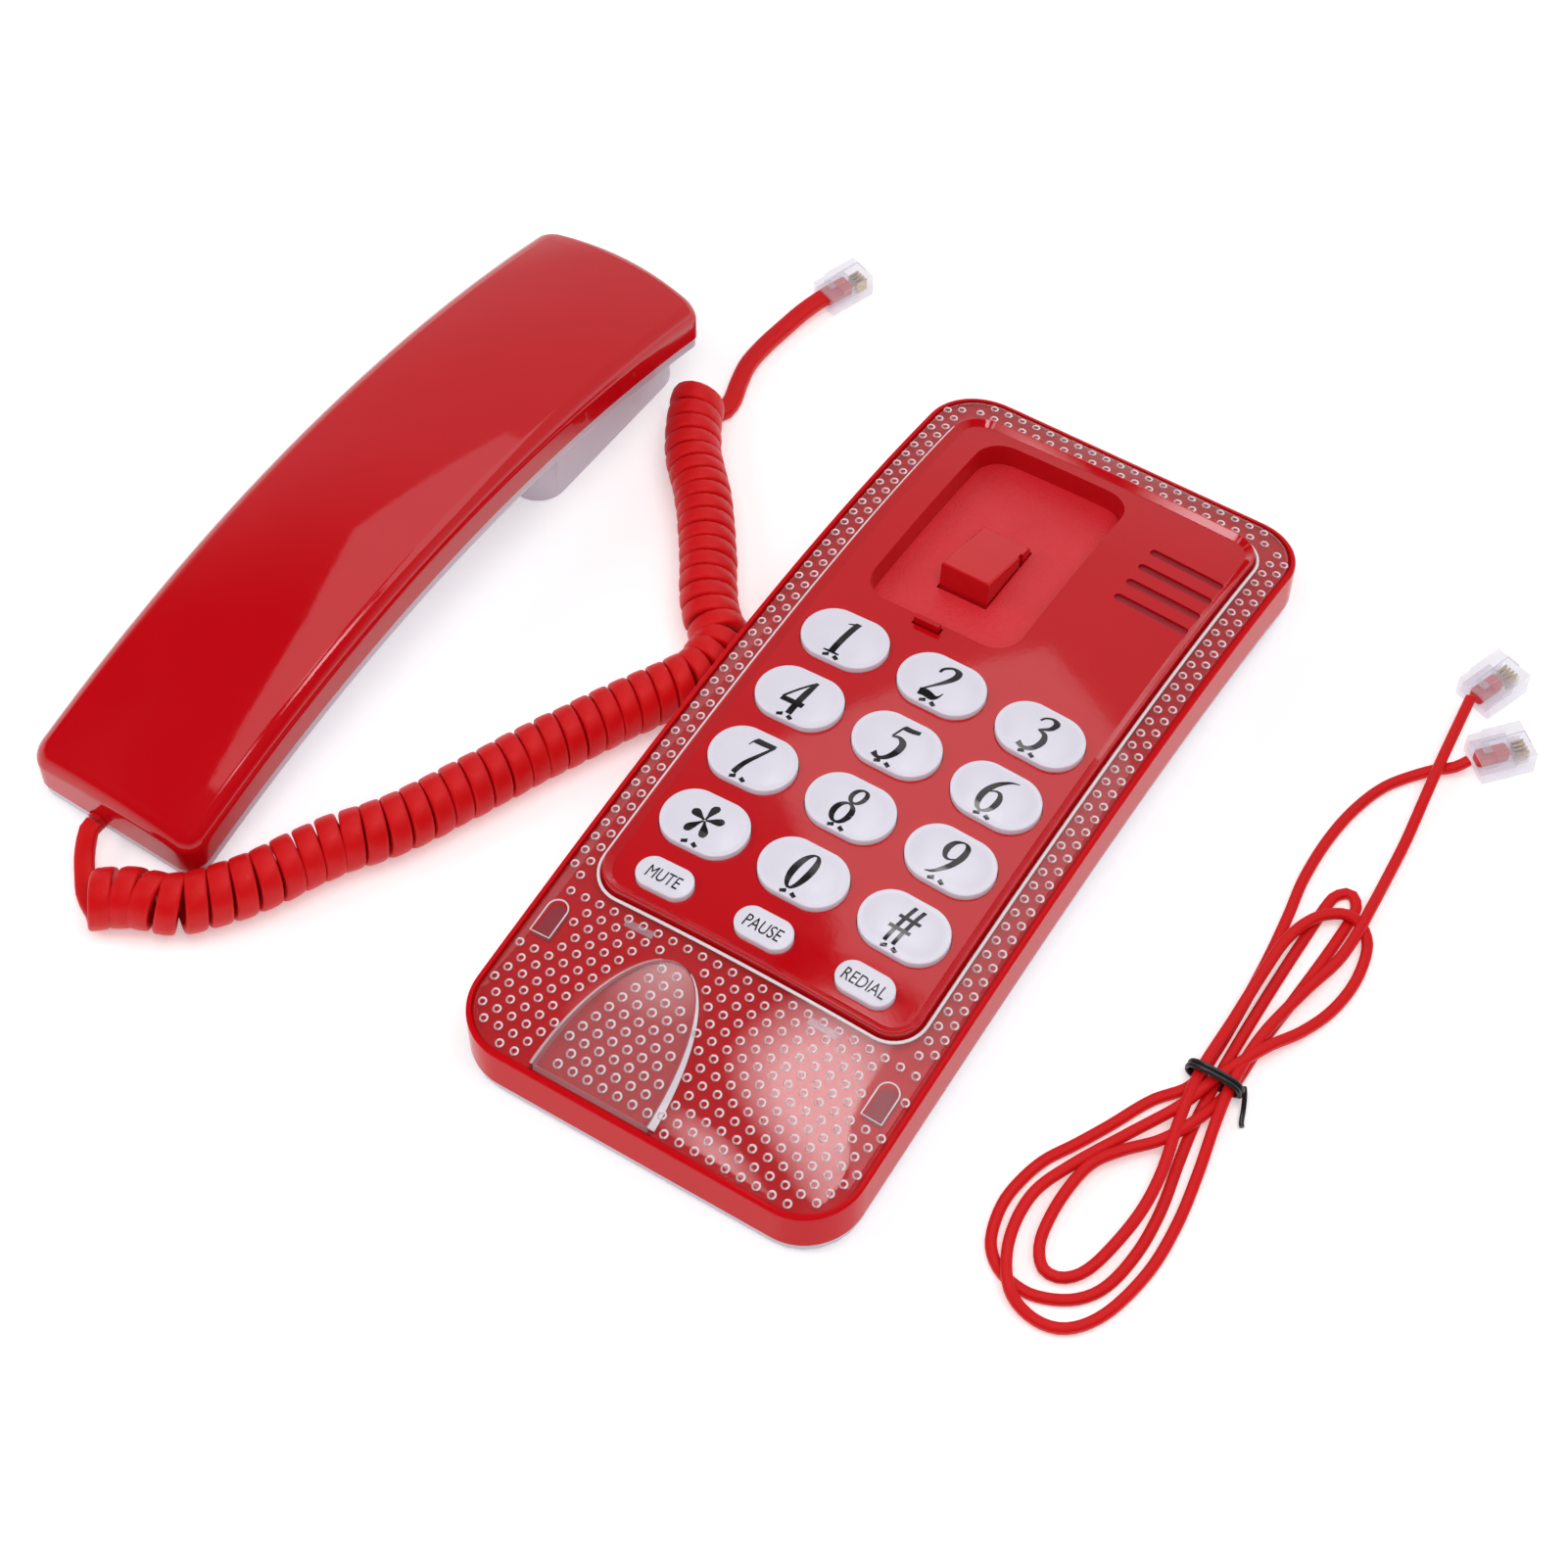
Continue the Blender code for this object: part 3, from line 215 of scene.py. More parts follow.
# A darker red, for the sheet that paints the shade under the grille and for the patches under the cover's
# windows.
DARK_RED_FILL = plastic("dark_red_fill", (0.34, 0.020, 0.030), (0.26, 0.012, 0.020), 0.5)
CLIP = plastic("clip_pale", (0.62, 0.36, 0.40), (0.50, 0.22, 0.26), 0.4)
GOLD = metal("gold_contact", (0.85, 0.60, 0.22), 0.2)
STEEL = metal("steel_screw", (0.55, 0.55, 0.57), 0.3)


# --- mesh helpers ----------------------------------------------------------------------------

def new_object(name, bm, mats, recalc=True):
    mesh = bpy.data.meshes.new(name)
    if recalc:
        bmesh.ops.recalc_face_normals(bm, faces=bm.faces)
    bm.to_mesh(mesh)
    bm.free()
    for mat in mats if isinstance(mats, (list, tuple)) else [mats]:
        mesh.materials.append(mat)
    made = bpy.data.objects.new(name, mesh)
    bpy.context.scene.collection.objects.link(made)
    return made


def box(x0, x1, y0, y1, z0, z1):
    bm = bmesh.new()
    bmesh.ops.create_cube(bm, size=1)
    bmesh.ops.scale(bm, vec=(x1 - x0, y1 - y0, z1 - z0), verts=bm.verts)
    bmesh.ops.translate(bm, vec=((x0 + x1) / 2, (y0 + y1) / 2, (z0 + z1) / 2), verts=bm.verts)
    return bm


def bevel(bm, edges, width, segments):
    how = {"offset_type": "OFFSET", "profile": 0.5, "affect": "EDGES"}
    bmesh.ops.bevel(bm, geom=edges, offset=width, segments=segments, **how)


def slab(x0, x1, y0, y1, z0, z1, radius, segments=12, soften=0.0, soften_segments=4, draft=0.0, under=0.0):
    """A box with round upright edges, softened top and bottom edges, and sides that lean in by draft."""
    bm = box(x0, x1, y0, y1, z0, z1)
    upright = [e for e in bm.edges if abs(e.verts[0].co.z - e.verts[1].co.z) > 0.5 * (z1 - z0)]
    bevel(bm, upright, radius, segments)
    if soften:
        bevel(bm, [e for e in bm.edges if min(v.co.z for v in e.verts) > z1 - 1e-6], soften, soften_segments)
    if under:
        bevel(bm, [e for e in bm.edges if max(v.co.z for v in e.verts) < z0 + 1e-6], under, soften_segments)
    if draft:
        for vert in bm.verts:
            if vert.co.z < (z0 + z1) / 2:
                vert.co.x -= math.copysign(draft, vert.co.x - (x0 + x1) / 2)
                vert.co.y -= math.copysign(draft, vert.co.y - (y0 + y1) / 2)
    return bm


def opening(size, x, y, play=0.0, segments=12):
    """A cutter with round ends that goes through the whole base."""
    wide, high = size[0] + play, size[1] + play
    return slab(x - wide / 2, x + wide / 2, y - high / 2, y + high / 2, 0, TALL, 0.4995 * high, segments)


def cylinder(radius, z0, z1, segments=24, x=0.0, y=0.0):
    bm = bmesh.new()
    bmesh.ops.create_cone(bm, cap_ends=True, segments=segments, radius1=radius, radius2=radius, depth=z1 - z0)
    bmesh.ops.translate(bm, vec=(x, y, (z0 + z1) / 2), verts=bm.verts)
    return bm


def slice_at(bm, axis, places):
    """Adds edges where planes at these places along an axis (0 for x, 1 for y) cross the mesh."""
    normal = Vector((1 - axis, axis, 0))
    for at in places:
        everything = bm.verts[:] + bm.edges[:] + bm.faces[:]
        bmesh.ops.bisect_plane(bm, geom=everything, dist=1e-7, plane_co=normal * at, plane_no=normal)


def skin(bm, rings, looped=False):
    """Joins rings of vertices with quads, and caps the ends unless the last ring meets the first."""
    for first, second in zip(rings, rings[1:] + (rings[:1] if looped else [])):
        for k in range(len(first)):
            j = (k + 1) % len(first)
            bm.faces.new((first[k], first[j], second[j], second[k]))
    if not looped:
        bm.faces.new(rings[0][::-1])
        bm.faces.new(rings[-1])


def smooth(obj, sharp=None):
    """Smooth shading; edges sharper than an angle in degrees stay sharp."""
    for poly in obj.data.polygons:
        poly.use_smooth = True
    if sharp:
        obj.data.set_sharp_from_angle(angle=math.radians(sharp))
    return obj


def bake(obj):
    bpy.context.view_layer.update()
    mesh = bpy.data.meshes.new_from_object(obj.evaluated_get(bpy.context.evaluated_depsgraph_get()))
    obj.modifiers.clear()
    old = obj.data
    obj.data = mesh
    bpy.data.meshes.remove(old)
    return obj


def combine(obj, bm, operation, mat=None):
    """Boolean with a mesh; faces that come from it take the material mat."""
    tool = new_object("tool", bm, mat or obj.data.materials[0])
    modifier = obj.modifiers.new("b", "BOOLEAN")
    modifier.operation, modifier.object, modifier.solver = operation, tool, "EXACT"
    modifier.material_mode = "TRANSFER"
    bake(obj)
    bpy.data.objects.remove(tool, do_unlink=True)


def cut(obj, bm, mat=None):
    combine(obj, bm, "DIFFERENCE", mat)


def join(obj, bm, mat=None):
    combine(obj, bm, "UNION", mat)


def soften_loops(obj, level, width, segments=3):
    """Rounds the sharp edges that lie in the plane z = level."""
    bm = bmesh.new()
    bm.from_mesh(obj.data)
    everything = {"verts": bm.verts[:], "edges": bm.edges[:]}
    bmesh.ops.dissolve_limit(bm, angle_limit=0.002, delimit={"MATERIAL"}, **everything)
    edges = []
    for edge in bm.edges:
        if len(edge.link_faces) != 2 or any(abs(v.co.z - level) > 2e-6 for v in edge.verts):
            continue
        if edge.calc_face_angle(0) > 0.5:
            edges.append(edge)
    bevel(bm, edges, width, segments)
    bm.to_mesh(obj.data)
    bm.free()


def sheared(obj, lift, xs=(), ys=(), step=0.2 * MM):
    """Slices a flat-built mesh at xs and ys and raises it by lift(x, y), with normals that follow exactly."""
    bm = bmesh.new()
    bm.from_mesh(obj.data)
    slice_at(bm, 0, xs)
    slice_at(bm, 1, ys)
    bmesh.ops.triangulate(bm, faces=[f for f in bm.faces if len(f.verts) > 4])
    bm.to_mesh(obj.data)
    bm.free()
    weigh_normals(obj)
    mesh = obj.data
    normals = np.zeros(len(mesh.loops) * 3)
    mesh.corner_normals.foreach_get("vector", normals)
    normals = normals.reshape(-1, 3)
    at = np.zeros(len(mesh.vertices) * 3)
    mesh.vertices.foreach_get("co", at)
    at = at.reshape(-1, 3)
    corner = np.zeros(len(mesh.loops), int)
    mesh.loops.foreach_get("vertex_index", corner)
    slope = np.zeros((len(at), 2))
    for i, (x, y, z) in enumerate(at):
        slope[i, 0] = (lift(x + step, y, z) - lift(x - step, y, z)) / (2 * step)
        slope[i, 1] = (lift(x, y + step, z) - lift(x, y - step, z)) / (2 * step)
    normals[:, :2] -= normals[:, 2:] * slope[corner]
    normals /= np.linalg.norm(normals, axis=1)[:, None]
    at[:, 2] += [lift(x, y, z) for x, y, z in at]
    mesh.vertices.foreach_set("co", at.ravel())
    mesh.update()
    mesh.normals_split_custom_set([tuple(n) for n in normals])
    return obj


def weigh_normals(obj, angle=35):
    smooth(obj, angle)
    modifier = obj.modifiers.new("w", "WEIGHTED_NORMAL")
    modifier.mode, modifier.weight, modifier.keep_sharp = "FACE_AREA_WITH_ANGLE", 90, True
    return bake(obj)


def place(obj, x=BASE_X, y=0.0, z=0.0, turn=0.0):
    obj.matrix_world = Matrix.Translation((x, y, z)) @ Matrix.Rotation(math.radians(turn), 4, "Z")
    return obj


def piece(obj, body, *nodes, slot=None):
    """Puts a finished piece on its body, in place of the named nodes."""
    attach(obj, body)
    if nodes:
        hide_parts(*nodes)
    return obj


def steps(low, high, count):
    return [low + (high - low) * (i + 1) / (count + 1) for i in range(count)]


def move_new(bm, swept, by):
    """Moves the vertices that an extrusion made."""
    made = [v for v in swept["geom"] if isinstance(v, bmesh.types.BMVert)]
    bmesh.ops.translate(bm, vec=by, verts=made)


# --- the base's curved surfaces --------------------------------------------------------------

def arch(x, y, z=0.0):
    t = 2 * y / BASE_LENGTH
    return ARCH * (1 - t * t) + ARCH_SKEW * (t - t**3)


def top_lift(x, y, z=0.0):
    t = 2 * y / BASE_LENGTH
    across = 1 - min(1.0, 2 * abs(x) / BASE_WIDTH) ** 2
    return arch(x, y) + CROWN * across * (1 - min(1.0, abs(t)) ** 8)


FINE_Y = steps(-BASE_LENGTH / 2, BASE_LENGTH / 2, 61)  # where curved pieces are sliced
FINE_X = steps(-BASE_WIDTH / 2, BASE_WIDTH / 2, 17)


def base_outline(inset, z0, z1, soften=0.0, under=0.0):
    x, y = BASE_WIDTH / 2 - inset, BASE_LENGTH / 2 - inset
    return slab(-x, x, -y, y, z0, z1, CORNER_R - inset, 16, soften, 4, under=under)


def mouth_outline(grow, z0, z1):
    half, length = MOUTH_HALF + grow, MOUTH_LENGTH + grow
    ring = [(-half, -grow), (half, -grow)]
    ring += [(half * math.cos(a), length * math.sin(a)) for a in steps(0, math.pi, 41)]
    bm = bmesh.new()
    floor = bm.faces.new([bm.verts.new((x + MOUTH_X, y + MOUTH_Y, z0)) for x, y in ring])
    top = bmesh.ops.extrude_face_region(bm, geom=[floor])
    move_new(bm, top, (0, 0, z1 - z0))
    return bm


def scoop_lift(x, y, z=0.0):
    """The lift of the clear cover, whose scoop floor (all below the plate) is raised at its far end."""
    rise = SCOOP_RISE * (y - MOUTH_Y) / MOUTH_LENGTH if z < SCOOP_LEVEL else 0.0
    return top_lift(x, y) + rise


def number_keys():
    names = ("1", "2", "3", "4", "5", "6", "7", "8", "9", "star", "0", "hash")
    for i, name in enumerate(names):
        yield name, (i % 3 - 1) * KEY_PITCH[0], KEY_TOP_Y - (i // 3) * KEY_PITCH[1]


def function_keys():
    for i, name in enumerate(("mute", "pause", "redial")):
        yield name, (i - 1) * KEY_PITCH[0], FUNCTION_Y


def build_housing():
    outline = base_outline(0, REAR_TOP + GAP, RIM_TOP, 0.5 * MM, 0.4 * MM)
    housing = new_object("base_housing", outline, RED_SIDE)
    cut(housing, base_outline(RIM_WALL, DECK_TOP, RIM_TOP + PAST))
    cut(housing, base_outline(WALL, -PAST, DECK_TOP - DECK_THICK))
    floor = COVER_TOP - MOUTH_DEPTH - MOUTH_FLOOR - GAP
    join(housing, mouth_outline(2.2 * MM, floor - DECK_THICK, DECK_TOP - 0.2 * MM))
    cut(housing, mouth_outline(1.1 * MM, floor, RIM_TOP + PAST))
    e = LEDGE
    cut(housing, slab(-FACE_X + e, FACE_X - e, FACE_Y0 + e, FACE_Y1 - e, -PAST, TALL, FACE_R - e))
    sx, sy = LINE_SOCKET
    cut(housing, box(sx - 6.5 * MM, sx + 6.5 * MM, sy - 2.4 * MM, sy + 5 * MM, 0, 11.65 * MM))
    hx, hy = HANDSET_SOCKET
    cut(housing, box(hx - 5 * MM, hx + 16 * MM, hy - 5.4 * MM, hy + 5.4 * MM, 0, 11.0 * MM))
    place(sheared(housing, top_lift, FINE_X, FINE_Y))
    piece(housing, "base", "front_housing", slot="red_plastic")


def build_cover():
    """The clear cover; its thumb scoop slopes up from the near end to the arched end."""
    cover = new_object(
        "cover_plate", base_outline(RIM_WALL + GAP, COVER_TOP - COVER_THICK, COVER_TOP, 0.9 * MM),
        [CLEAR, CLEAR_FLOOR, CLEAR_WALL_HIGHLIGHT],
    )
    low = COVER_TOP - MOUTH_DEPTH
    join(cover, mouth_outline(0.75 * MM, low - MOUTH_FLOOR, COVER_TOP - 1.2 * MM), CLEAR)
    cut(cover, mouth_outline(0.0, low, COVER_TOP + PAST), CLEAR)
    x1 = FACE_X + GAP
    cut(cover, slab(-x1, x1, FACE_Y0 - GAP, FACE_Y1 + GAP, 0, TALL, FACE_R + GAP), CLEAR)
    # Inside the scoop the floor takes the slightly milky clear, and the walls the milkier one that paints
    # their bright glassy edge as a highlight.
    for poly in cover.data.polygons:
        x, y, z = poly.center
        if inside_mouth(x, y, 0.1 * MM) and z > low - 0.1 * MM:
            poly.material_index = 1 if poly.normal.z > 0.9 else 2
    place(sheared(cover, scoop_lift, FINE_X, FINE_Y))
    piece(cover, "base", "clear_cover", slot="clear_plastic")


def build_face():
    bm = slab(-FACE_X, FACE_X, FACE_Y0, FACE_Y1, FACE_SKIRT, FACE_TOP, FACE_R, 16)
    top = [f for f in bm.faces if f.normal.z > 0.9 and f.calc_center_median().z > FACE_TOP - 0.1 * MM]
    rim = list(top[0].verts)
    bmesh.ops.inset_region(bm, faces=top, thickness=FACE_CHAMFER[0])
    for vert in rim:
        vert.co.z -= FACE_CHAMFER[1]
    ridge = [e for e in bm.edges if min(v.co.z for v in e.verts) > FACE_TOP - 0.1 * MM]
    ledge = [e for e in bm.edges if all(v in rim for v in e.verts)]
    bevel(bm, ridge + ledge, CHAMFER_ROUND, 3)
    face = new_object("face_plate", bm, [RED, RED_GRAINED])
    w = FACE_WALL
    inner = slab(-FACE_X + w, FACE_X - w, FACE_Y0 + w, FACE_Y1 - w, 0, FACE_TOP - FACE_THICK, FACE_R - w)
    cut(face, inner, RED)
    floor = FACE_TOP - POCKET_DEPTH
    x0, x1, y0, y1 = POCKET
    join(face, slab(x0 - w, x1 + w, y0 - w, y1 + w, floor - w, POCKET_WALL_TOP, POCKET_R + w), RED)
    cut(face, slab(x0, x1, y0, y1, floor, FACE_TOP + PAST, POCKET_R, draft=POCKET_DRAFT), RED)
    tx0, tx1, ty0, ty1 = TAB
    cut(face, box(tx0 - GAP, tx1 + GAP, ty0 - GAP, ty1 + GAP, FACE_TOP - PAST, FACE_TOP + PAST), RED)
    for _, x, y in number_keys():
        cut(face, opening(KEY_SIZE, x, y, KEY_PLAY), RED)
    for _, x, y in function_keys():
        cut(face, opening(FUNCTION_SIZE, x, y, KEY_PLAY), RED)
    for y in SLOT_YS:
        cut(face, opening(SLOT_SIZE, SLOT_X, y, segments=6), RED)
    soften_loops(face, FACE_TOP, FACE_EDGE)
    hx0, hx1, hy0, hy1 = HOOK_SLOT
    cut(face, box(hx0, hx1, hy0, hy1, 0, floor + 1 * MM), RED)
    for poly in face.data.polygons:
        if abs(poly.center.z - floor) < 1e-5 and poly.normal.z > 0.9:
            poly.material_index = 1
    place(sheared(face, top_lift, FINE_X, FINE_Y))
    piece(face, "base", "face_panel", slot="red_plastic")
    # Painted shade: a darker red sheet under the grille slots makes them read dark.
    shade_sheet = new_object("grille_shade_sheet", box(*GRILLE_SHADE_SHEET), DARK_RED_FILL)
    place(sheared(shade_sheet, top_lift, FINE_X, FINE_Y))
    piece(shade_sheet, "base", slot="red_plastic")


# --- keys ------------------------------------------------------------------------------------

KEY_PROFILE = [  # inset from the outline, height above the panel, in mm
    (0.0, -3.0), (0.0, -0.14), (0.06, -0.03), (0.18, 0.04), (0.4, 0.05), (0.7, 0.0), (1.0, 0.0), (1.8, 0.22),
    (2.9, 0.52), (4.2, 0.73), (5.6, 0.84), (6.8, 0.86),
]
FUNCTION_PROFILE = [
    (0.0, -3.0), (0.0, -0.10), (0.06, 0.01), (0.18, 0.09), (0.5, 0.13), (1.0, 0.22), (1.7, 0.40), (2.7, 0.51),
    (3.6, 0.52),
]


def profile_height(profile, inset):
    for (a, za), (b, zb) in zip(profile[1:], profile[2:]):
        if inset <= b:
            return za + (zb - za) * max(0.0, inset - a) / max(1e-9, b - a)
    return profile[-1][1]


def key_surface(size, profile, x, y):
    """Height above the panel's level of a key's top at (x, y) from its centre, in metres."""
    half = size[1] / 2
    straight = size[0] / 2 - half
    dx = max(0.0, abs(x) - straight)
    inset = half - math.hypot(dx, y)
    return profile_height(profile, inset / MM) * MM


def stadium_ring(size, inset, count=56):
    """Points round a stadium, evenly spread by angle, moved in by inset."""
    radius = max(1e-5, size[1] / 2 - inset)
    straight = size[0] / 2 - size[1] / 2
    points = []
    for i in range(count):
        angle = 2 * math.pi * (i + 0.5) / count
        side = 1 if math.cos(angle) > 0 else -1
        points.append((side * straight + radius * math.cos(angle), radius * math.sin(angle)))
    return points


def key_body(name, size, profile, x, y, body, node):
    bm = bmesh.new()
    rings = []
    for inset, height in profile:
        z, ring = FACE_TOP + height * MM, stadium_ring(size, inset * MM)
        rings.append([bm.verts.new((px, py, z + top_lift(x + px, y + py))) for px, py in ring])
    skin(bm, rings)
    made = smooth(new_object(name, bm, WHITE_KEY), 60)
    place(made, BASE_X + x, y)
    return piece(made, body, node, slot="key_plastic")


GLYPHS = {  # strokes of (x, y, width), in a box one unit high
    "1": [
        [(0.31, 0.0, 0.15), (0.31, 0.5, 0.15), (0.31, 0.96, 0.14)],
        [(0.31, 0.95, 0.05), (0.22, 0.88, 0.05), (0.12, 0.84, 0.02)],
        [(0.12, 0.02, 0.03), (0.3, 0.025, 0.05), (0.5, 0.02, 0.03)],
    ],
    "2": [
        [(0.1, 0.7, 0.06), (0.11, 0.83, 0.08), (0.25, 0.96, 0.08), (0.42, 0.91, 0.14), (0.46, 0.74, 0.15),
         (0.37, 0.53, 0.11), (0.2, 0.3, 0.06), (0.06, 0.13, 0.04)],
        [(0.04, 0.08, 0.16), (0.2, 0.1, 0.17), (0.38, 0.07, 0.14), (0.48, 0.12, 0.06), (0.52, 0.24, 0.02)],
    ],
    "3": [
        [(0.1, 0.78, 0.05), (0.15, 0.9, 0.06), (0.29, 0.97, 0.08), (0.43, 0.88, 0.14), (0.41, 0.69, 0.11),
         (0.22, 0.54, 0.04)],
        [(0.22, 0.54, 0.04), (0.4, 0.49, 0.1), (0.48, 0.31, 0.15), (0.41, 0.1, 0.12), (0.23, 0.01, 0.08),
         (0.06, 0.07, 0.12)],
    ],
    "4": [
        [(0.4, 0.97, 0.06), (0.2, 0.62, 0.06), (0.03, 0.31, 0.06)],
        [(0.02, 0.28, 0.12), (0.3, 0.28, 0.12), (0.56, 0.28, 0.12)],
        [(0.4, 0.97, 0.08), (0.4, 0.6, 0.15), (0.4, 0.0, 0.15)],
    ],
    "5": [
        [(0.18, 0.91, 0.14), (0.36, 0.91, 0.14), (0.54, 0.95, 0.12)],
        [(0.19, 0.94, 0.05), (0.16, 0.75, 0.05), (0.13, 0.58, 0.05)],
        [(0.13, 0.57, 0.05), (0.28, 0.61, 0.08), (0.44, 0.5, 0.15), (0.46, 0.28, 0.16), (0.36, 0.08, 0.11),
         (0.2, 0.0, 0.07), (0.05, 0.06, 0.13)],
    ],
    "6": [
        [(0.52, 0.98, 0.02), (0.35, 0.9, 0.07), (0.16, 0.66, 0.13), (0.08, 0.36, 0.15), (0.13, 0.1, 0.11),
         (0.27, 0.01, 0.05), (0.42, 0.11, 0.11), (0.46, 0.32, 0.14), (0.39, 0.5, 0.09), (0.27, 0.54, 0.05),
         (0.12, 0.44, 0.03)],
    ],
    "7": [
        [(0.07, 0.9, 0.16), (0.3, 0.9, 0.16), (0.54, 0.91, 0.14)],
        [(0.08, 0.94, 0.04), (0.05, 0.84, 0.04), (0.03, 0.72, 0.02)],
        [(0.53, 0.92, 0.06), (0.42, 0.62, 0.09), (0.27, 0.28, 0.12), (0.2, 0.0, 0.13)],
    ],
    "9": [
        [(0.04, 0.0, 0.02), (0.21, 0.08, 0.07), (0.4, 0.32, 0.13), (0.48, 0.62, 0.15), (0.43, 0.88, 0.11),
         (0.29, 0.97, 0.05), (0.14, 0.87, 0.11), (0.1, 0.66, 0.14), (0.17, 0.48, 0.09), (0.29, 0.44, 0.05),
         (0.44, 0.54, 0.03)],
    ],
    "hash": [
        [(0.18, 0.02, 0.09), (0.21, 0.5, 0.09), (0.24, 0.98, 0.09)],
        [(0.38, 0.02, 0.09), (0.41, 0.5, 0.09), (0.44, 0.98, 0.09)],
        [(0.04, 0.36, 0.08), (0.28, 0.36, 0.08), (0.54, 0.36, 0.08)],
        [(0.08, 0.64, 0.08), (0.3, 0.64, 0.08), (0.58, 0.64, 0.08)],
    ],
}


def ellipse_stroke(cx, cy, rx, ry, thick, thin, count=28):
    points = []
    for i in range(count + 1):
        a = 2 * math.pi * i / count
        width = thin + (thick - thin) * abs(math.cos(a)) ** 1.5
        points.append((cx + rx * math.cos(a), cy + ry * math.sin(a), width))
    return points


GLYPHS["0"] = [ellipse_stroke(0.29, 0.49, 0.17, 0.45, 0.16, 0.05)]
GLYPHS["8"] = [
    ellipse_stroke(0.31, 0.75, 0.14, 0.2, 0.11, 0.06), ellipse_stroke(0.27, 0.26, 0.18, 0.24, 0.14, 0.05),
]
GLYPHS["star"] = []
for petal in range(5):
    a = math.radians(90 + 72 * petal)
    reach = ((0.02, 0.04), (0.12, 0.07), (0.24, 0.15), (0.34, 0.19), (0.41, 0.14), (0.45, 0.02))
    GLYPHS["star"].append([(0.3 + r * math.cos(a) * 0.9, 0.5 + r * math.sin(a), w) for r, w in reach])


def spline(points, per=8):
    """Points on a smooth curve through the given ones, whatever their dimension."""
    p = [np.array(q, float) for q in points]
    p = [2 * p[0] - p[1]] + p + [2 * p[-1] - p[-2]]
    out = []
    for a, b, c, d in zip(p, p[1:], p[2:], p[3:]):
        for k in range(per):
            t = k / per
            square, cube = (2 * a - 5 * b + 4 * c - d) * t * t, (3 * b - a - 3 * c + d) * t**3
            out.append(b + 0.5 * ((c - a) * t + square + cube))
    out.append(p[-2])
    return out


def ribbon(bm, points, place_point, across=4):
    """A flat band along (x, y, width) points, put on a surface by place_point(x, y)."""
    rows = []
    for i, (x, y, w) in enumerate(points):
        ahead = np.array(points[min(i + 1, len(points) - 1)][:2]) - np.array(points[max(i - 1, 0)][:2])
        ahead = ahead / max(1e-9, np.linalg.norm(ahead))
        side = np.array((-ahead[1], ahead[0]))
        row = []
        for k in range(across + 1):
            off = max(w, 0.004) * (k / across - 0.5)
            row.append(bm.verts.new(place_point(x + side[0] * off, y + side[1] * off)))
        rows.append(row)
    for first, second in zip(rows, rows[1:]):
        for k in range(across):
            bm.faces.new((first[k], first[k + 1], second[k + 1], second[k]))


def print_mesh(name, bm, body):
    for face in bm.faces:
        if face.normal.z < 0:
            face.normal_flip()
    piece(smooth(new_object(name, bm, INK, recalc=False)), body, slot="black_plastic")


GLYPH_HEIGHT, SLANT, PRINT_RISE = 9.8 * MM, 0.15, 0.03
LABEL_HEIGHT, LABEL_SQUEEZE, LABEL_STRETCH, LABEL_SLANT, LABEL_DROP = 3.9 * MM, 0.78, 1.05, 0.1, 0.5 * MM


def glyph_print(glyph, x, y, body, name):
    bm = bmesh.new()

    def on_key(level):
        def put(u, v):
            px = (u - 0.29 + SLANT * (v - 0.5)) * GLYPH_HEIGHT
            py = (v - 0.52) * GLYPH_HEIGHT
            z = FACE_TOP + top_lift(x + px, y + py) + key_surface(KEY_SIZE, KEY_PROFILE, px, py)
            return (BASE_X + x + px, y + py, z + level)

        return put

    for i, stroke in enumerate(GLYPHS[glyph]):
        ribbon(bm, spline(stroke, 4), on_key((PRINT_RISE + 0.006 * i) * MM))
    # Two dark dashes under each digit paint the refracted edges of the print that show at the cap's lower
    # rim.
    for side in (-1, 1):
        dash = [(0.36 + side * 0.12 + 0.04 * k, -0.07 - 0.02 * side * k, 0.085) for k in (-1.5, 0, 1.5)]
        ribbon(bm, spline(dash, 2), on_key(PRINT_RISE * MM))
    bm.normal_update()
    print_mesh(name, bm, body)


def label_print(text, x, y, body, name):
    curve = bpy.data.curves.new(name, "FONT")
    curve.body, curve.size, curve.align_x, curve.align_y = text, LABEL_HEIGHT, "CENTER", "CENTER"
    made = bpy.data.objects.new(name, curve)
    bpy.context.scene.collection.objects.link(made)
    bpy.context.view_layer.update()
    mesh = bpy.data.meshes.new_from_object(made)
    bpy.data.objects.remove(made, do_unlink=True)
    bm = bmesh.new()
    bm.from_mesh(mesh)
    bpy.data.meshes.remove(mesh)
    top = FACE_TOP + FUNCTION_PROFILE[-1][1] * MM + PRINT_RISE * MM
    for vert in bm.verts:
        px = vert.co.x * LABEL_SQUEEZE + LABEL_SLANT * vert.co.y
        py = vert.co.y * LABEL_STRETCH - LABEL_DROP
        vert.co = (BASE_X + x + px, y + py, top + top_lift(x + px, y + py))
    bm.normal_update()
    print_mesh(name, bm, body)


def build_keys():
    for name, x, y in number_keys():
        node = "key_" + name
        key_body("cap_" + name, KEY_SIZE, KEY_PROFILE, x, y, node, node)
        glyph_print(name, x, y, node, "print_" + name)
    for name, x, y in function_keys():
        node = "key_" + name
        key_body("cap_" + name, FUNCTION_SIZE, FUNCTION_PROFILE, x, y, node, node)
        label_print(name.upper(), x, y, node, "print_" + name)


# --- hook and other small parts of the base ---------------------------------------------------

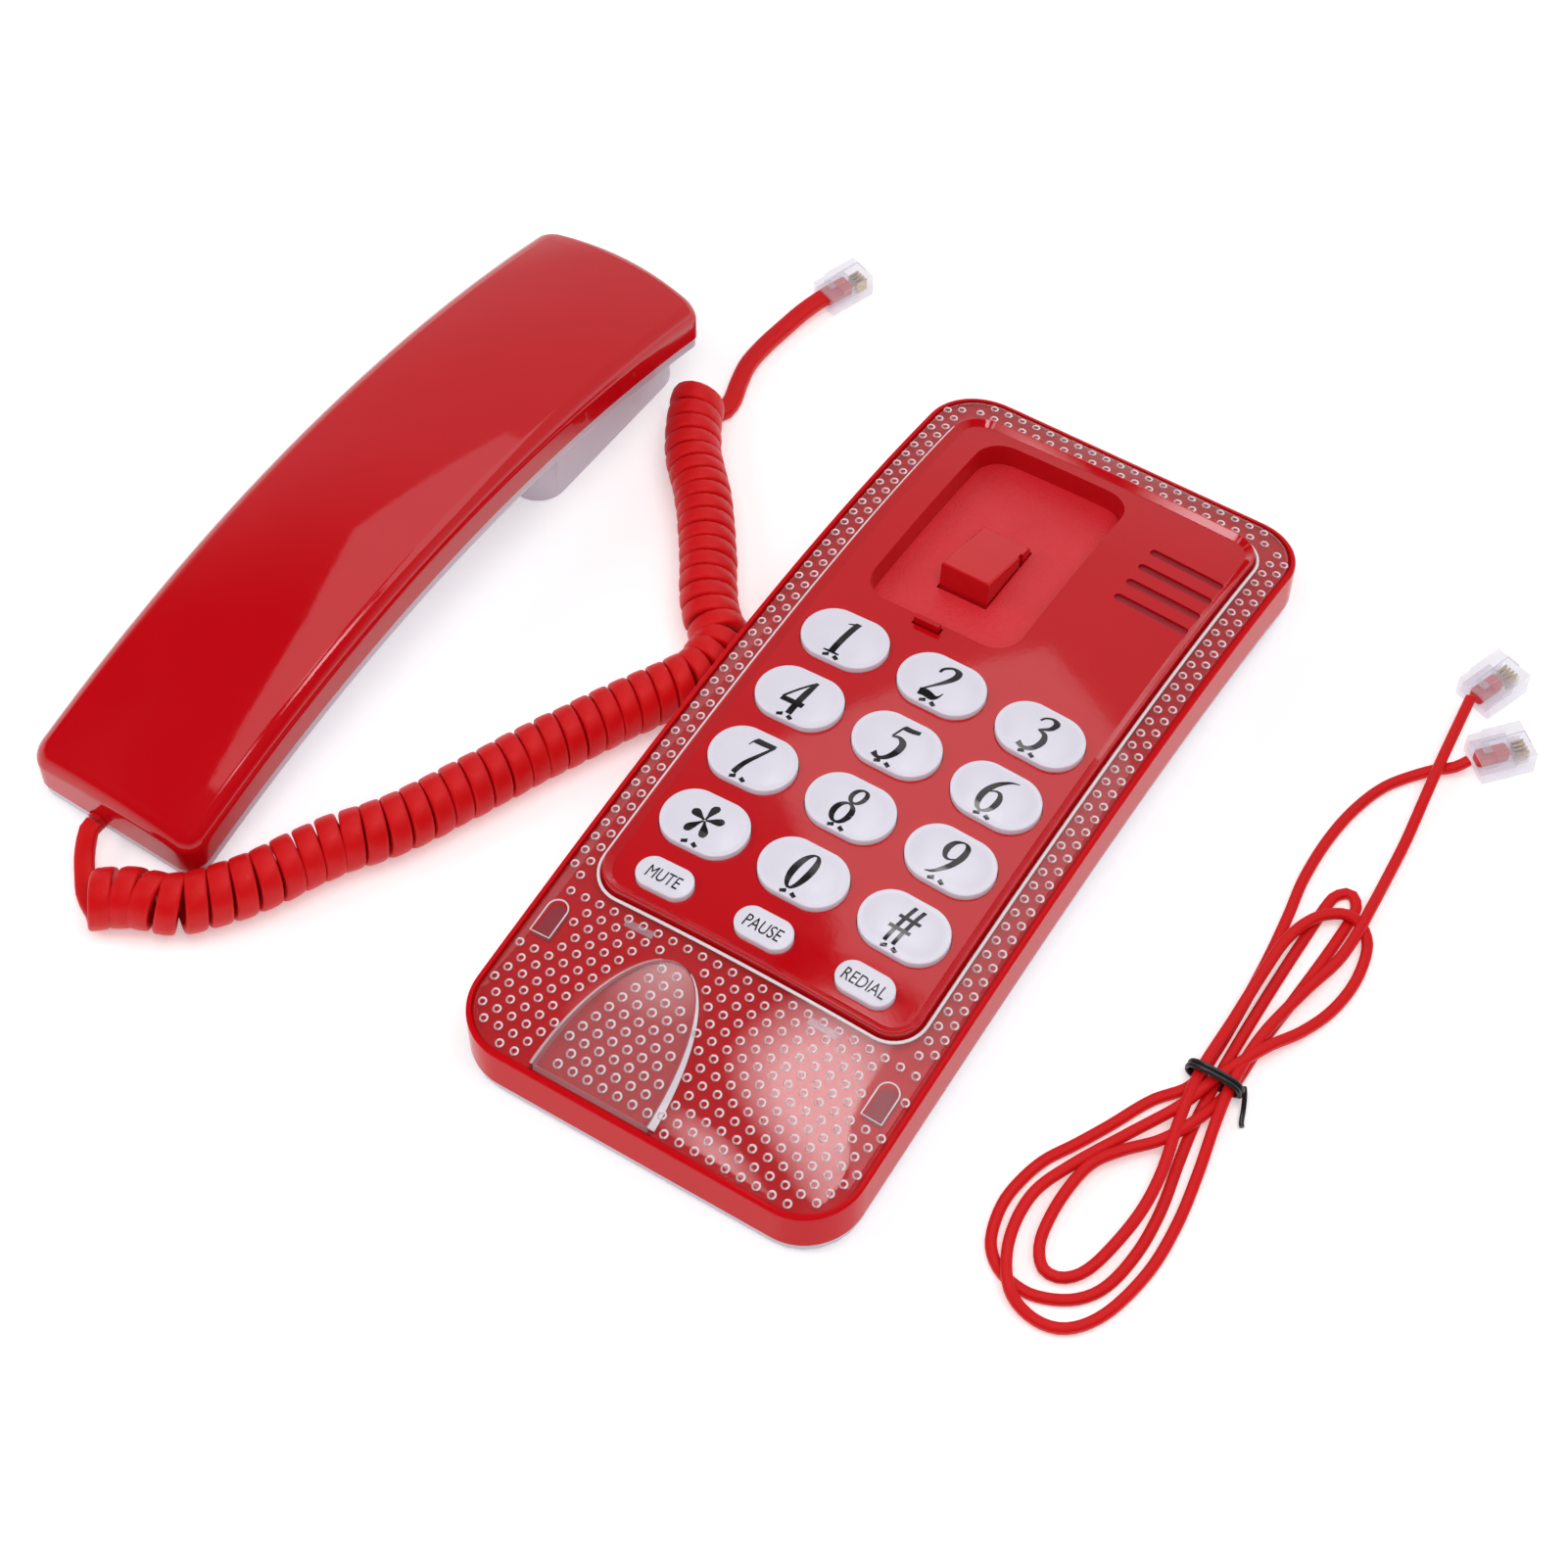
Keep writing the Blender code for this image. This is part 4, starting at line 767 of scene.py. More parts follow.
HOOK_X, HOOK_HALF, HOOK_FRONT_Y, HOOK_PIVOT_Y = -11.2 * MM, 5.9 * MM, 44.0 * MM, 62.5 * MM
HOOK_RISE, HOOK_BACK, HOOK_LEAN, HOOK_WALL = 6.9 * MM, 2.9 * MM, 0.9 * MM, 1.3 * MM


def pocket_floor(y):
    return FACE_TOP - POCKET_DEPTH + top_lift(HOOK_X, y)


def build_hook():
    pivot_z = pocket_floor(HOOK_PIVOT_Y) - 0.7 * MM
    front = HOOK_FRONT_Y - HOOK_PIVOT_Y
    front_top = pocket_floor(HOOK_FRONT_Y) + HOOK_RISE - pivot_z

    def wedge(inset, low):
        outline = [
            (front + inset, low), (front + HOOK_LEAN + inset, front_top - 1.3 * inset),
            (0.7 * MM - inset, HOOK_BACK - 1.3 * inset), (0.9 * MM - inset, low),
        ]
        bm = bmesh.new()
        side = bm.faces.new([bm.verts.new((inset - HOOK_HALF, y, z)) for y, z in outline])
        move_new(bm, bmesh.ops.extrude_face_region(bm, geom=[side]), (2 * (HOOK_HALF - inset), 0, 0))
        bmesh.ops.recalc_face_normals(bm, faces=bm.faces)
        return bm

    outer = wedge(0.0, -1.0 * MM)
    top = [e for e in outer.edges if min(v.co.z for v in e.verts) > 0.3 * MM and e.calc_length() > 3 * MM]
    bevel(outer, top, 0.55 * MM, 4)
    paddle = new_object("paddle", outer, RED_SATIN)
    cut(paddle, wedge(HOOK_WALL, -4 * MM))
    cut(paddle, box(HOOK_HALF - 0.5 * MM, HOOK_HALF + 1 * MM, -4.2 * MM, -2.6 * MM, -2 * MM, 9 * MM))
    weigh_normals(paddle)
    place(paddle, BASE_X + HOOK_X, HOOK_PIVOT_Y, pivot_z)
    piece(paddle, "hook", "hook_paddle", slot="red_plastic")


# --- handset ---------------------------------------------------------------------------------

H_FINE_Y = steps(-H_LENGTH / 2, H_LENGTH / 2, 47)
H_FINE_X = steps(-H_WIDTH / 2, H_WIDTH / 2, 13)
H_BOSSES = ((0.0, 22 * MM), (0.0, -12 * MM))
EAR = (17.8 * MM, 33 * MM, 86 * MM, 7 * MM, 0.0)
MIC = (14.0 * MM, -88 * MM, -64 * MM, 5 * MM, 0.4 * MM)
EAR_Y, CAPSULE_R, EAR_FLOOR = 59 * MM, 13.5 * MM, 2.2 * MM
MIC_Y, MIC_R, MIC_FLOOR = -76 * MM, 4.8 * MM, 2.2 * MM
LEAD_HOLE = (-4.0 * MM, 6.6 * MM)
BACK_WALL, FRONT_WALL = 2.0 * MM, 1.6 * MM


def seam(x, y, z=0.0):
    t = 2 * y / H_LENGTH
    return SEAM_MIDDLE + (SEAM_FAR - SEAM_NEAR) / 2 * t + ((SEAM_FAR + SEAM_NEAR) / 2 - SEAM_MIDDLE) * t * t


def crowned_seam(x, y, z=0.0):
    return seam(x, y) - BACK_CROWN * (2 * x / H_WIDTH) ** 2 * z / BACK_HEIGHT


def handset_outline(inset, z0, z1, soften=0.0, under=0.0):
    """The handset in plan: straight at its near end and bowed at its far end, whose corners stand back."""
    x, y = H_WIDTH / 2 - inset, H_LENGTH / 2 - inset
    bm = slab(-x, x, -y, y, z0, z1, H_R - inset, 10, soften, 7, under=under)
    slice_at(bm, 0, steps(-x, x, 11))
    for vert in bm.verts:
        share = max(0.0, (vert.co.y - H_BOW_FROM) / (H_LENGTH / 2 - H_BOW_FROM))
        vert.co.y -= share * share * (H_BOW[0] + H_BOW[1] * (2 * vert.co.x / H_WIDTH) ** 2)
    return bm


def in_handset(obj):
    return place(obj, BASE_X + HANDSET_AT[0], HANDSET_AT[1], 0.0, HANDSET_YAW)


def lead_hole():
    bm = cylinder(2.5 * MM, -8 * MM, 8 * MM, 24)
    bmesh.ops.rotate(bm, matrix=Matrix.Rotation(math.radians(90), 3, "X"), verts=bm.verts)
    end = -H_LENGTH / 2
    bmesh.ops.translate(bm, vec=(LEAD_HOLE[0], end, LEAD_HOLE[1] - seam(0, end)), verts=bm.verts)
    return bm


def build_back_shell():
    shell = new_object("back_shell", handset_outline(0, 0, BACK_HEIGHT, 3.4 * MM, 0.3 * MM), RED)
    cut(shell, handset_outline(BACK_WALL, -5 * MM, BACK_HEIGHT - BACK_WALL - BACK_CROWN))
    cut(shell, lead_hole())
    sheared(shell, crowned_seam, H_FINE_X, H_FINE_Y)
    piece(in_handset(shell), "handset", "handset_back_shell", slot="red_plastic")


def front_block(half, y0, y1, radius, low):
    """A block under the tray that stands on the desk; it is built flat and raised only at its top."""
    bm = slab(-half, half, y0, y1, low, low + 1 * MM, radius, 10, under=0.6 * MM)
    slice_at(bm, 1, H_FINE_Y)
    bmesh.ops.triangulate(bm, faces=bm.faces[:])
    for vert in bm.verts:
        if vert.co.z > low + 0.9 * MM:
            vert.co.z = seam(0, vert.co.y) - FRONT_DEPTH + 0.6 * FRONT_WALL
    return bm


def build_front_shell():
    tray = handset_outline(0.5 * MM, -FRONT_DEPTH, -GAP, 0.3 * MM, 0.9 * MM)
    shell = new_object("front_shell", tray, PALE)
    cut(shell, handset_outline(0.5 * MM + FRONT_WALL, -FRONT_DEPTH + FRONT_WALL, 5 * MM))
    for x, y in H_BOSSES:
        cut(shell, cylinder(2.6 * MM, -FRONT_DEPTH - 5 * MM, 5 * MM, 24, x, y))
    sheared(shell, seam, (), H_FINE_Y)
    for block in (EAR, MIC):
        join(shell, front_block(*block))
    cut(shell, cylinder(CAPSULE_R + GAP, EAR_FLOOR, 40 * MM, 48, 0, EAR_Y))
    cut(shell, cylinder(9.5 * MM, -1 * MM, 0.5 * MM, 48, 0, EAR_Y))
    for radius, count in ((0.0, 1), (3.2 * MM, 6), (6.4 * MM, 12)):
        for i in range(count):
            a = 2 * math.pi * i / count
            x, y = radius * math.cos(a), EAR_Y + radius * math.sin(a)
            cut(shell, cylinder(0.8 * MM, -PAST, PAST, 12, x, y))
    cut(shell, cylinder(MIC_R + GAP, MIC_FLOOR, 40 * MM, 32, 0, MIC_Y))
    for x in (-4 * MM, 0.0, 4 * MM):
        cut(shell, cylinder(0.7 * MM, -PAST, PAST, 12, x, MIC_Y))
    weigh_normals(shell)
    piece(in_handset(shell), "handset", "handset_front_shell", slot="pale_plastic")


# --- cords -----------------------------------------------------------------------------------

COIL_R, STRAND_THICK = 6.7, 2.6
HANDSET_LEAD = [
    (-138.5, -96.3, 6.6), (-138.5, -98.4, 6.3), (-136.9, -102.4, 3.6), (-134.2, -106.0, 2.0),
    (-131.2, -109.2, 1.4),
]
COIL = [
    (-126.6, -111.7), (-122.6, -108.4), (-118.7, -106.2), (-111.6, -103.4), (-105.6, -97.0), (-100.4, -89.3),
    (-96.6, -81.2), (-92.3, -73.4), (-87.3, -66.5), (-82.9, -58.7), (-79.0, -50.0), (-75.0, -41.4),
    (-71.2, -32.3), (-66.9, -23.8), (-62.8, -15.0), (-58.3, -6.6), (-54.5, 0.4), (-53.0, 4.2), (-53.0, 8.0),
    (-53.0, 11.6), (-54.8, 15.2), (-58.8, 18.4), (-64.0, 24.6), (-68.4, 31.4), (-73.2, 38.2), (-78.4, 45.1),
    (-83.4, 50.6), (-88.0, 55.6), (-92.2, 61.7), (-95.0, 66.9), (-96.6, 71.2),
]
COIL_PITCH = ((0.0, 5.0), (0.25, 4.9), (0.5, 4.55), (0.68, 4.4), (0.9, 3.9), (0.96, 4.4), (1.0, 5.4))
PLUG_LEAD = [
    (-92.8, 74.2, 1.5), (-92.6, 78.6, 1.5), (-94.2, 84.0, 1.6), (-95.5, 90.0, 1.8), (-95.4, 96.9, 1.9),
    (-94.4, 103.9, 2.2), (-93.1, 110.4, 2.8), (-91.4, 115.8, 3.3), (-90.6, 118.0, 3.3),
]
LINE_ROUTE = [
    (97.0, 74.4, 3.3), (95.0, 71.6, 3.0), (90.4, 68.4, 2.0), (84.8, 61.0, 1.7), (81.8, 52.0, 1.7),
    (80.5, 41.7, 1.7), (80.7, 30.1, 1.7), (82.2, 20.0, 1.7), (83.6, 8.0, 1.7), (84.6, -6.4, 1.9),
    (85.0, -18.0, 2.5), (84.5, -27.0, 2.5), (79.4, -34.0, 1.7), (75.1, -43.5, 1.7), (71.5, -50.8, 1.7),
    (68.2, -56.9, 1.7), (66.5, -62.9, 1.7), (65.9, -69.2, 1.7), (67.0, -75.4, 1.7), (69.1, -79.8, 1.7),
    (73.1, -83.0, 1.7), (78.7, -84.2, 1.7), (83.2, -83.3, 1.7), (87.6, -80.9, 1.7), (90.8, -77.2, 1.7),
    (92.6, -72.1, 1.7), (93.4, -64.8, 1.7), (93.2, -58.3, 1.7), (92.4, -52.0, 1.7), (90.8, -44.0, 1.7),
    (89.2, -34.0, 1.9), (88.4, -24.0, 2.5), (87.9, -14.0, 2.2), (87.6, 0.8, 1.7), (87.6, 14.0, 1.7),
    (87.8, 26.0, 1.7), (88.4, 29.7, 1.7), (90.7, 31.8, 1.7), (93.1, 29.6, 1.7), (93.6, 25.6, 1.7),
    (93.4, 16.0, 1.7), (92.6, 2.0, 1.7),
    (91.8, -10.0, 2.2), (91.6, -24.0, 2.5), (89.4, -34.0, 4.6), (85.6, -42.0, 5.2), (80.4, -48.0, 5.2),
    (76.6, -54.1, 5.2), (75.4, -62.0, 4.6), (75.6, -69.3, 3.6), (76.8, -74.6, 3.0), (79.8, -78.4, 3.0),
    (83.8, -78.2, 3.0), (87.0, -74.6, 3.4), (89.0, -68.0, 5.2), (90.0, -58.0, 5.2), (89.2, -48.0, 5.2),
    (86.6, -36.0, 5.6), (84.9, -24.0, 5.9), (84.8, -10.0, 5.4), (84.6, 4.0, 5.1), (85.0, 14.0, 5.1),
    (88.0, 22.0, 5.1), (93.6, 25.6, 5.1), (99.0, 22.6, 3.0), (101.2, 14.0, 2.0), (100.5, 4.5, 2.0),
    (97.6, -4.0, 3.0), (93.4, -12.0, 5.4), (88.6, -23.0, 5.9), (85.2, -33.0, 5.2), (79.6, -44.0, 5.1),
    (73.6, -56.0, 5.1), (70.2, -66.0, 5.1), (71.4, -77.0, 5.1), (76.3, -85.7, 4.6), (83.0, -88.6, 3.0),
    (89.7, -87.0, 2.4), (94.6, -80.0, 1.9), (97.2, -68.0, 1.8), (97.0, -56.0, 1.8), (95.2, -44.0, 2.6),
    (92.8, -32.0, 5.2), (91.6, -23.0, 5.9), (91.4, -10.0, 5.2), (93.8, 4.0, 5.1), (96.2, 14.0, 5.1),
    (96.6, 22.0, 5.1), (96.2, 30.0, 5.1), (95.4, 40.0, 3.0), (94.6, 50.0, 3.0), (93.2, 62.0, 5.4),
    (91.8, 74.0, 6.4), (91.0, 82.0, 5.0), (90.2, 89.6, 3.6),
]
TIE_AT = (88.2 * MM, -24.0 * MM)
UP = np.array((0.0, 0.0, 1.0))


def evenly(points, spacing):
    """Points at an even spacing along a smooth curve through the given ones."""
    dense = np.array(spline(points, 12))
    reach = np.concatenate([[0], np.cumsum(np.linalg.norm(np.diff(dense, axis=0), axis=1))])
    places = np.linspace(0, reach[-1], max(2, round(reach[-1] / spacing)) + 1)
    return np.stack([np.interp(places, reach, dense[:, k]) for k in range(dense.shape[1])], axis=1)


def unit(v):
    return v / np.maximum(1e-12, np.linalg.norm(v, axis=-1, keepdims=True))


def sweep(name, path, outward, wide, thick, look, sides=12, squareness=0.62):
    """A band along the path in mm, wide across it and thick along outward, with rounded corners."""
    path = np.asarray(path, float)
    ahead = unit(np.gradient(path, axis=0))
    across = unit(np.cross(ahead, outward))
    out = unit(np.cross(across, ahead))
    wide = np.broadcast_to(wide, len(path))
    thick = np.broadcast_to(thick, len(path))
    bm = bmesh.new()
    rings = []
    for i, at in enumerate(path):
        ring = []
        for k in range(sides):
            a = 2 * math.pi * (k + 0.5) / sides
            u = math.copysign(abs(math.cos(a)) ** squareness, math.cos(a)) * wide[i] / 2
            v = math.copysign(abs(math.sin(a)) ** squareness, math.sin(a)) * thick[i] / 2
            spot = (at + across[i] * u + out[i] * v) * MM
            ring.append(bm.verts.new((spot[0] + BASE_X, spot[1], spot[2])))
        rings.append(ring)
    skin(bm, rings)
    return smooth(new_object(name, bm, look), 70)


def measure(path):
    return float(np.linalg.norm(np.diff(np.asarray(path), axis=0), axis=1).sum()) * MM


def coil_path():
    """The curly cord's helix: a left-handed screw round the coil's axis, in mm, with outward directions."""
    axis = evenly([(x, y, COIL_R) for x, y in COIL], 0.25)
    reach = np.linspace(0, 1, len(axis))
    pitch = np.interp(reach, *np.array(COIL_PITCH).T)
    turns = np.concatenate([[0], np.cumsum(0.25 / pitch[1:])])
    turns *= round(turns[-1]) / turns[-1]
    phase = 2 * math.pi * np.linspace(0, turns[-1], round(turns[-1]) * 20 + 1)
    where = np.interp(phase / (2 * math.pi), turns, reach)
    centre = np.stack([np.interp(where, reach, axis[:, k]) for k in range(3)], axis=1)
    ahead = unit(np.gradient(centre, axis=0))
    right = np.stack([ahead[:, 1], -ahead[:, 0], np.zeros(len(ahead))], axis=1)
    turn = phase - math.pi / 2
    outward = right * np.cos(turn)[:, None] + UP * np.sin(turn)[:, None]
    sway = 0.10 * np.sin(2.3 * phase / 6.28 + 1.0) + 0.07 * np.sin(5.1 * phase / 6.28)
    radius = COIL_R - STRAND_THICK / 2 - 0.12 - np.abs(sway)
    return centre + outward * radius[:, None], outward, np.interp(where, reach, pitch)


def build_curly_cord():
    helix, outward, pitch = coil_path()
    lead = evenly(HANDSET_LEAD + [tuple(helix[0])], 2.0)[:-1]
    tail = evenly([tuple(helix[-1])] + PLUG_LEAD, 2.0)[1:]
    path = np.concatenate([lead, helix, tail])
    # The band turns over from lying flat to facing outward where it enters and leaves the coil.
    out = np.concatenate([np.tile(-UP, (len(lead), 1)), outward, np.tile(-UP, (len(tail), 1))])
    wide = np.concatenate([np.full(len(lead), 4.2), 0.955 * pitch, np.full(len(tail), 4.2)])
    for side in (len(lead), len(lead) + len(helix)):
        blend = slice(side - 10, side + 10)
        wide[blend] = np.linspace(wide[side - 10], wide[side + 9], 20)
    cord = sweep("curly_cord", path, out, wide, STRAND_THICK, RED_CORD, 14, 0.5)
    piece(cord, "base", "handset_lead", "coil_lower", "coil_upper", "plug_lead", slot="red_plastic")


def build_line_cord(plugs):
    """A flat cord: its layers lie closer together than the round tubes of the solid, so they touch."""
    path = evenly(LINE_ROUTE, 1.6)
    reach = np.linspace(0, measure(path) / MM, len(path))
    held = np.clip(1 - np.minimum(reach, reach[-1] - reach) / 14, 0, 1)
    path[:, 2] = held * path[:, 2] + (1 - held) * (0.95 + (path[:, 2] - 1.7) * 0.56)
    cord = sweep("line_lead", path, UP, 2.4, 1.8, RED_CORD, 14, 0.6)
    piece(cord, "base", "line_cord", slot="red_plastic")


def build_plug(name, node, width, x, y, turn, places, cord_wide):
    """A modular plug: clear body, hinged latch, gold blades and the flat cord's end inside it."""
    length, height, low = 12.0 * MM, 6.0 * MM, 0.3 * MM
    half = width * MM / 2
    body = new_object(name, box(-half, half, 0, length, low, low + height), CLEAR_PLUG)
    cut(body, box(-half + 1.1 * MM, half - 1.1 * MM, -1 * MM, 8.4 * MM, low + 1.5 * MM, low + 4.4 * MM))
    for i in range(places):
        at = (i - (places - 1) / 2) * 1.02 * MM
        cut(body, box(at - 0.3 * MM, at + 0.3 * MM, 8.9 * MM, length + 1 * MM, -1 * MM, low + 3.4 * MM))
    top = low + height
    cut(body, box(-half - 1 * MM, half + 1 * MM, -1 * MM, 3.2 * MM, top - 0.8 * MM, top + 1 * MM))
    latch = box(-1.6 * MM, 1.6 * MM, 1.2 * MM, length - 0.4 * MM, top - 0.1 * MM, top + 0.85 * MM)
    for vert in latch.verts:
        if vert.co.y < 5 * MM:
            vert.co.z += 0.1 * MM
            vert.co.x *= 0.8
    join(body, latch)
    weigh_normals(body, 30)
    blades = bmesh.new()
    for i in range(1 if places == 6 else 0, places - 1 if places == 6 else places):
        at = (i - (places - 1) / 2) * 1.02 * MM
        blade = box(at - 0.2 * MM, at + 0.2 * MM, 9.0 * MM, 11.9 * MM, low + 0.1 * MM, low + 3.3 * MM)
        mesh = bpy.data.meshes.new("blade")
        blade.to_mesh(mesh)
        blade.free()
        blades.from_mesh(mesh)
        bpy.data.meshes.remove(mesh)
    contacts = new_object(name + "_blades", blades, GOLD)
    side = cord_wide * MM / 2
    core = slab(-side, side, 0.2 * MM, 7.6 * MM, low + 1.7 * MM, low + 4.2 * MM, 0.8 * MM, 4, 0.5 * MM)
    end = new_object(name + "_core", core, RED_CORD)
    for made in (body, contacts, end):
        place(made, BASE_X + x * MM, y * MM, 0, turn)
        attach(made, "base")
    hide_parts(node)
    return [body, contacts, end]


def build_tie():
    """A glossy wire tie wound twice round the folded cord, with a short twisted tail."""
    path = []
    for i in range(65):
        a = 2 * math.pi * i / 32
        path.append((
            TIE_AT[0] / MM + 6.0 * math.copysign(abs(math.cos(a)) ** 0.7, math.cos(a)),
            TIE_AT[1] / MM + (i / 64 - 0.5) * 2.2,
            3.2 + 2.6 * math.copysign(abs(math.sin(a)) ** 0.7, math.sin(a)),
        ))
    path += [(95.2, -24.6, 2.4), (96.0, -26.4, 1.2), (96.8, -28.6, 0.7), (97.4, -29.5, 0.6)]
    path = evenly(path, 0.5)
    tie = sweep("wire_tie", path, UP, 1.1, 1.0, BLACK, 10, 0.9)
    return piece(tie, "base", "twist_tie", slot="black_plastic")


def build_cords():
    plug = build_plug("curly_plug", "handset_plug", 7.65, -91.2, 116.4, -20, 4, 4.2)
    build_curly_cord()
    first = build_plug("line_plug_one", "line_plug_a", 9.65, 90.6, 90.4, -19, 6, 3.4)
    second = build_plug("line_plug_two", "line_plug_b", 9.65, 97.9, 75.6, -41, 6, 3.4)
    build_line_cord(first + second + [build_tie()])


# --- details of the clear cover --------------------------------------------------------------

WINDOWS = ((-39.5, -70.5), (39.0, -71.5))


def rounded_rect(grow, per=10):
    """Points round the panel's outline, grown outward."""
    x1, y0, y1, radius = FACE_X + grow, FACE_Y0 - grow, FACE_Y1 + grow, FACE_R + grow
    points = []
    for cx, cy, start in ((x1 - radius, y1 - radius, 0), (radius - x1, y1 - radius, 90),
                          (radius - x1, y0 + radius, 180), (x1 - radius, y0 + radius, 270)):
        for k in range(per + 1):
            a = math.radians(start + 90 * k / per)
            points.append((cx + radius * math.cos(a), cy + radius * math.sin(a)))
    out = []
    for p, q in zip(points, points[1:] + points[:1]):
        count = max(1, round(math.dist(p, q) / (2.5 * MM)))
        out += [(p[0] + (q[0] - p[0]) * k / count, p[1] + (q[1] - p[1]) * k / count) for k in range(count)]
    return out


def bead(name, outline, level, r, look, sides=8):
    """A thin raised bead along a closed outline on the base's curved top."""
    bm = bmesh.new()
    rings = []
    for i, (x, y) in enumerate(outline):
        before, after = outline[i - 1], outline[(i + 1) % len(outline)]
        along = Vector((after[0] - before[0], after[1] - before[1])).normalized()
        ring = []
        for k in range(sides):
            a = 2 * math.pi * k / sides
            px, py = x + along.y * r * math.cos(a), y - along.x * r * math.cos(a)
            ring.append(bm.verts.new((BASE_X + px, py, level + top_lift(px, py) + r * math.sin(a))))
        rings.append(ring)
    skin(bm, rings, looped=True)
    return piece(smooth(new_object(name, bm, look)), "base", slot="clear_plastic")


def inside_round(x, y, grow, x1=FACE_X, y0=FACE_Y0, y1=FACE_Y1, radius=FACE_R):
    x1, y0, y1, radius = x1 + grow, y0 - grow, y1 + grow, radius + grow
    dx = max(0.0, abs(x) - (x1 - radius))
    dy = max(0.0, y - (y1 - radius), (y0 + radius) - y)
    return math.hypot(dx, dy) < radius


def inside_mouth(x, y, grow):
    u, v = (x - MOUTH_X) / (MOUTH_HALF + grow), (y - MOUTH_Y) / (MOUTH_LENGTH + grow)
    return y > MOUTH_Y - grow and u * u + v * v * (1 if v > 0 else 0) < 1


def dimple_places():
    for row in range(13):
        y = (-63.5 - 2.93 * row) * MM
        for column in range(-14, 15):
            yield (3.53 * column + (1.0 - 1.2 * row) % 3.53 - 1.7) * MM, y
    for side in (-1, 1):
        for i in range(42):
            yield side * 39.9 * MM, (-59.5 + 3.72 * i) * MM
            yield side * 42.5 * MM, (-57.7 + 3.72 * i) * MM
    for i in range(21):
        yield (-36 + 3.6 * i) * MM, 94.6 * MM
        yield (-34.2 + 3.6 * i) * MM, 98.0 * MM


FAINT_HIGHLIGHT_ARC, DIMPLE_MARGIN = (6, 12), 2.3 * MM  # the arc of each ring that gets the fainter painted highlight, the rest getting the bright one; the clear rim


def build_dimples():
    bm = bmesh.new()
    around, sides = 14, 6
    wide, long = BASE_WIDTH / 2 - DIMPLE_MARGIN, BASE_LENGTH / 2 - DIMPLE_MARGIN
    for x, y in dimple_places():
        in_cover = inside_round(x, y, 0, wide, -long, long, 10.5 * MM)
        near_window = any(abs(x - wx * MM) < 3.6 * MM and abs(y - wy * MM) < 5.6 * MM for wx, wy in WINDOWS)
        near_mouth = inside_mouth(x, y, 1.3 * MM)
        deep = inside_mouth(x, y, -1.3 * MM)
        if not in_cover or inside_round(x, y, 1.5 * MM) or near_window or (near_mouth and not deep):
            continue
        level = COVER_TOP - (MOUTH_DEPTH - scoop_lift(x, y) + top_lift(x, y) if deep else 0)
        size = 1.1 if deep else 1.0
        rings = []
        for i in range(around):
            a = 2 * math.pi * i / around
            ring = []
            for k in range(sides):
                b = 2 * math.pi * k / sides
                r = (0.76 + 0.22 * math.cos(b)) * MM * size
                px, py = x + r * math.cos(a), y + r * math.sin(a)
                pz = level + top_lift(px, py) + 0.20 * MM * math.sin(b)
                ring.append(bm.verts.new((BASE_X + px, py, pz)))
            rings.append(ring)
        for i in range(around):
            first, second = rings[i], rings[(i + 1) % around]
            for k in range(sides):
                j = (k + 1) % sides
                made = bm.faces.new((first[k], second[k], second[j], first[j]))
                made.material_index = 1 if FAINT_HIGHLIGHT_ARC[0] <= i < FAINT_HIGHLIGHT_ARC[1] else 0
    # Painted highlights: most of each ring takes the bright milky clear and one arc a fainter one.
    made = smooth(new_object("cover_dimples", bm, [CLEAR_PAINTED_HIGHLIGHT, CLEAR_FAINT_HIGHLIGHT]))
    piece(made, "base", slot="clear_plastic")


def window_outline(cx, cy, grow=0.0, count=12):
    half, length = 2.3 * MM + grow, 8.6 * MM + grow
    x, y = cx * MM, (cy - 4.3) * MM
    points = [(x - half, y - grow), (x + half, y - grow)]
    for k in range(count + 1):
        a = math.pi * k / count
        points.append((x + half * math.cos(a), y + length - half + half * math.sin(a)))
    return points


def flat_patch(name, outline, level, thick, look):
    """A thin plate on the curved deck."""
    bm = bmesh.new()
    low = [bm.verts.new((BASE_X + x, y, level + top_lift(x, y))) for x, y in outline]
    high = [bm.verts.new((BASE_X + x, y, level + thick + top_lift(x, y))) for x, y in outline]
    bm.faces.new(low[::-1])
    bm.faces.new(high)
    for i in range(len(low)):
        j = (i + 1) % len(low)
        bm.faces.new((low[i], low[j], high[j], high[i]))
    return piece(new_object(name, bm, look), "base", slot="red_plastic")


# Painted highlights as bands along the two sides of the thumb scoop: start and end as a share of its arch,
# the end where the band is widest (0 or 1), its extra width there, and its material
GLINTS = ((0.0, 0.42, 0, 1.5 * MM, CLEAR_PAINTED_HIGHLIGHT), (0.58, 1.0, 1, 0.45 * MM, CLEAR_WALL_HIGHLIGHT))
GLINT_INSET, GLINT_OFF, GLINT_THIN, GLINT_THICK, GLINT_STEPS = 0.25 * MM, 0.2 * MM, 0.15 * MM, 0.3 * MM, 32


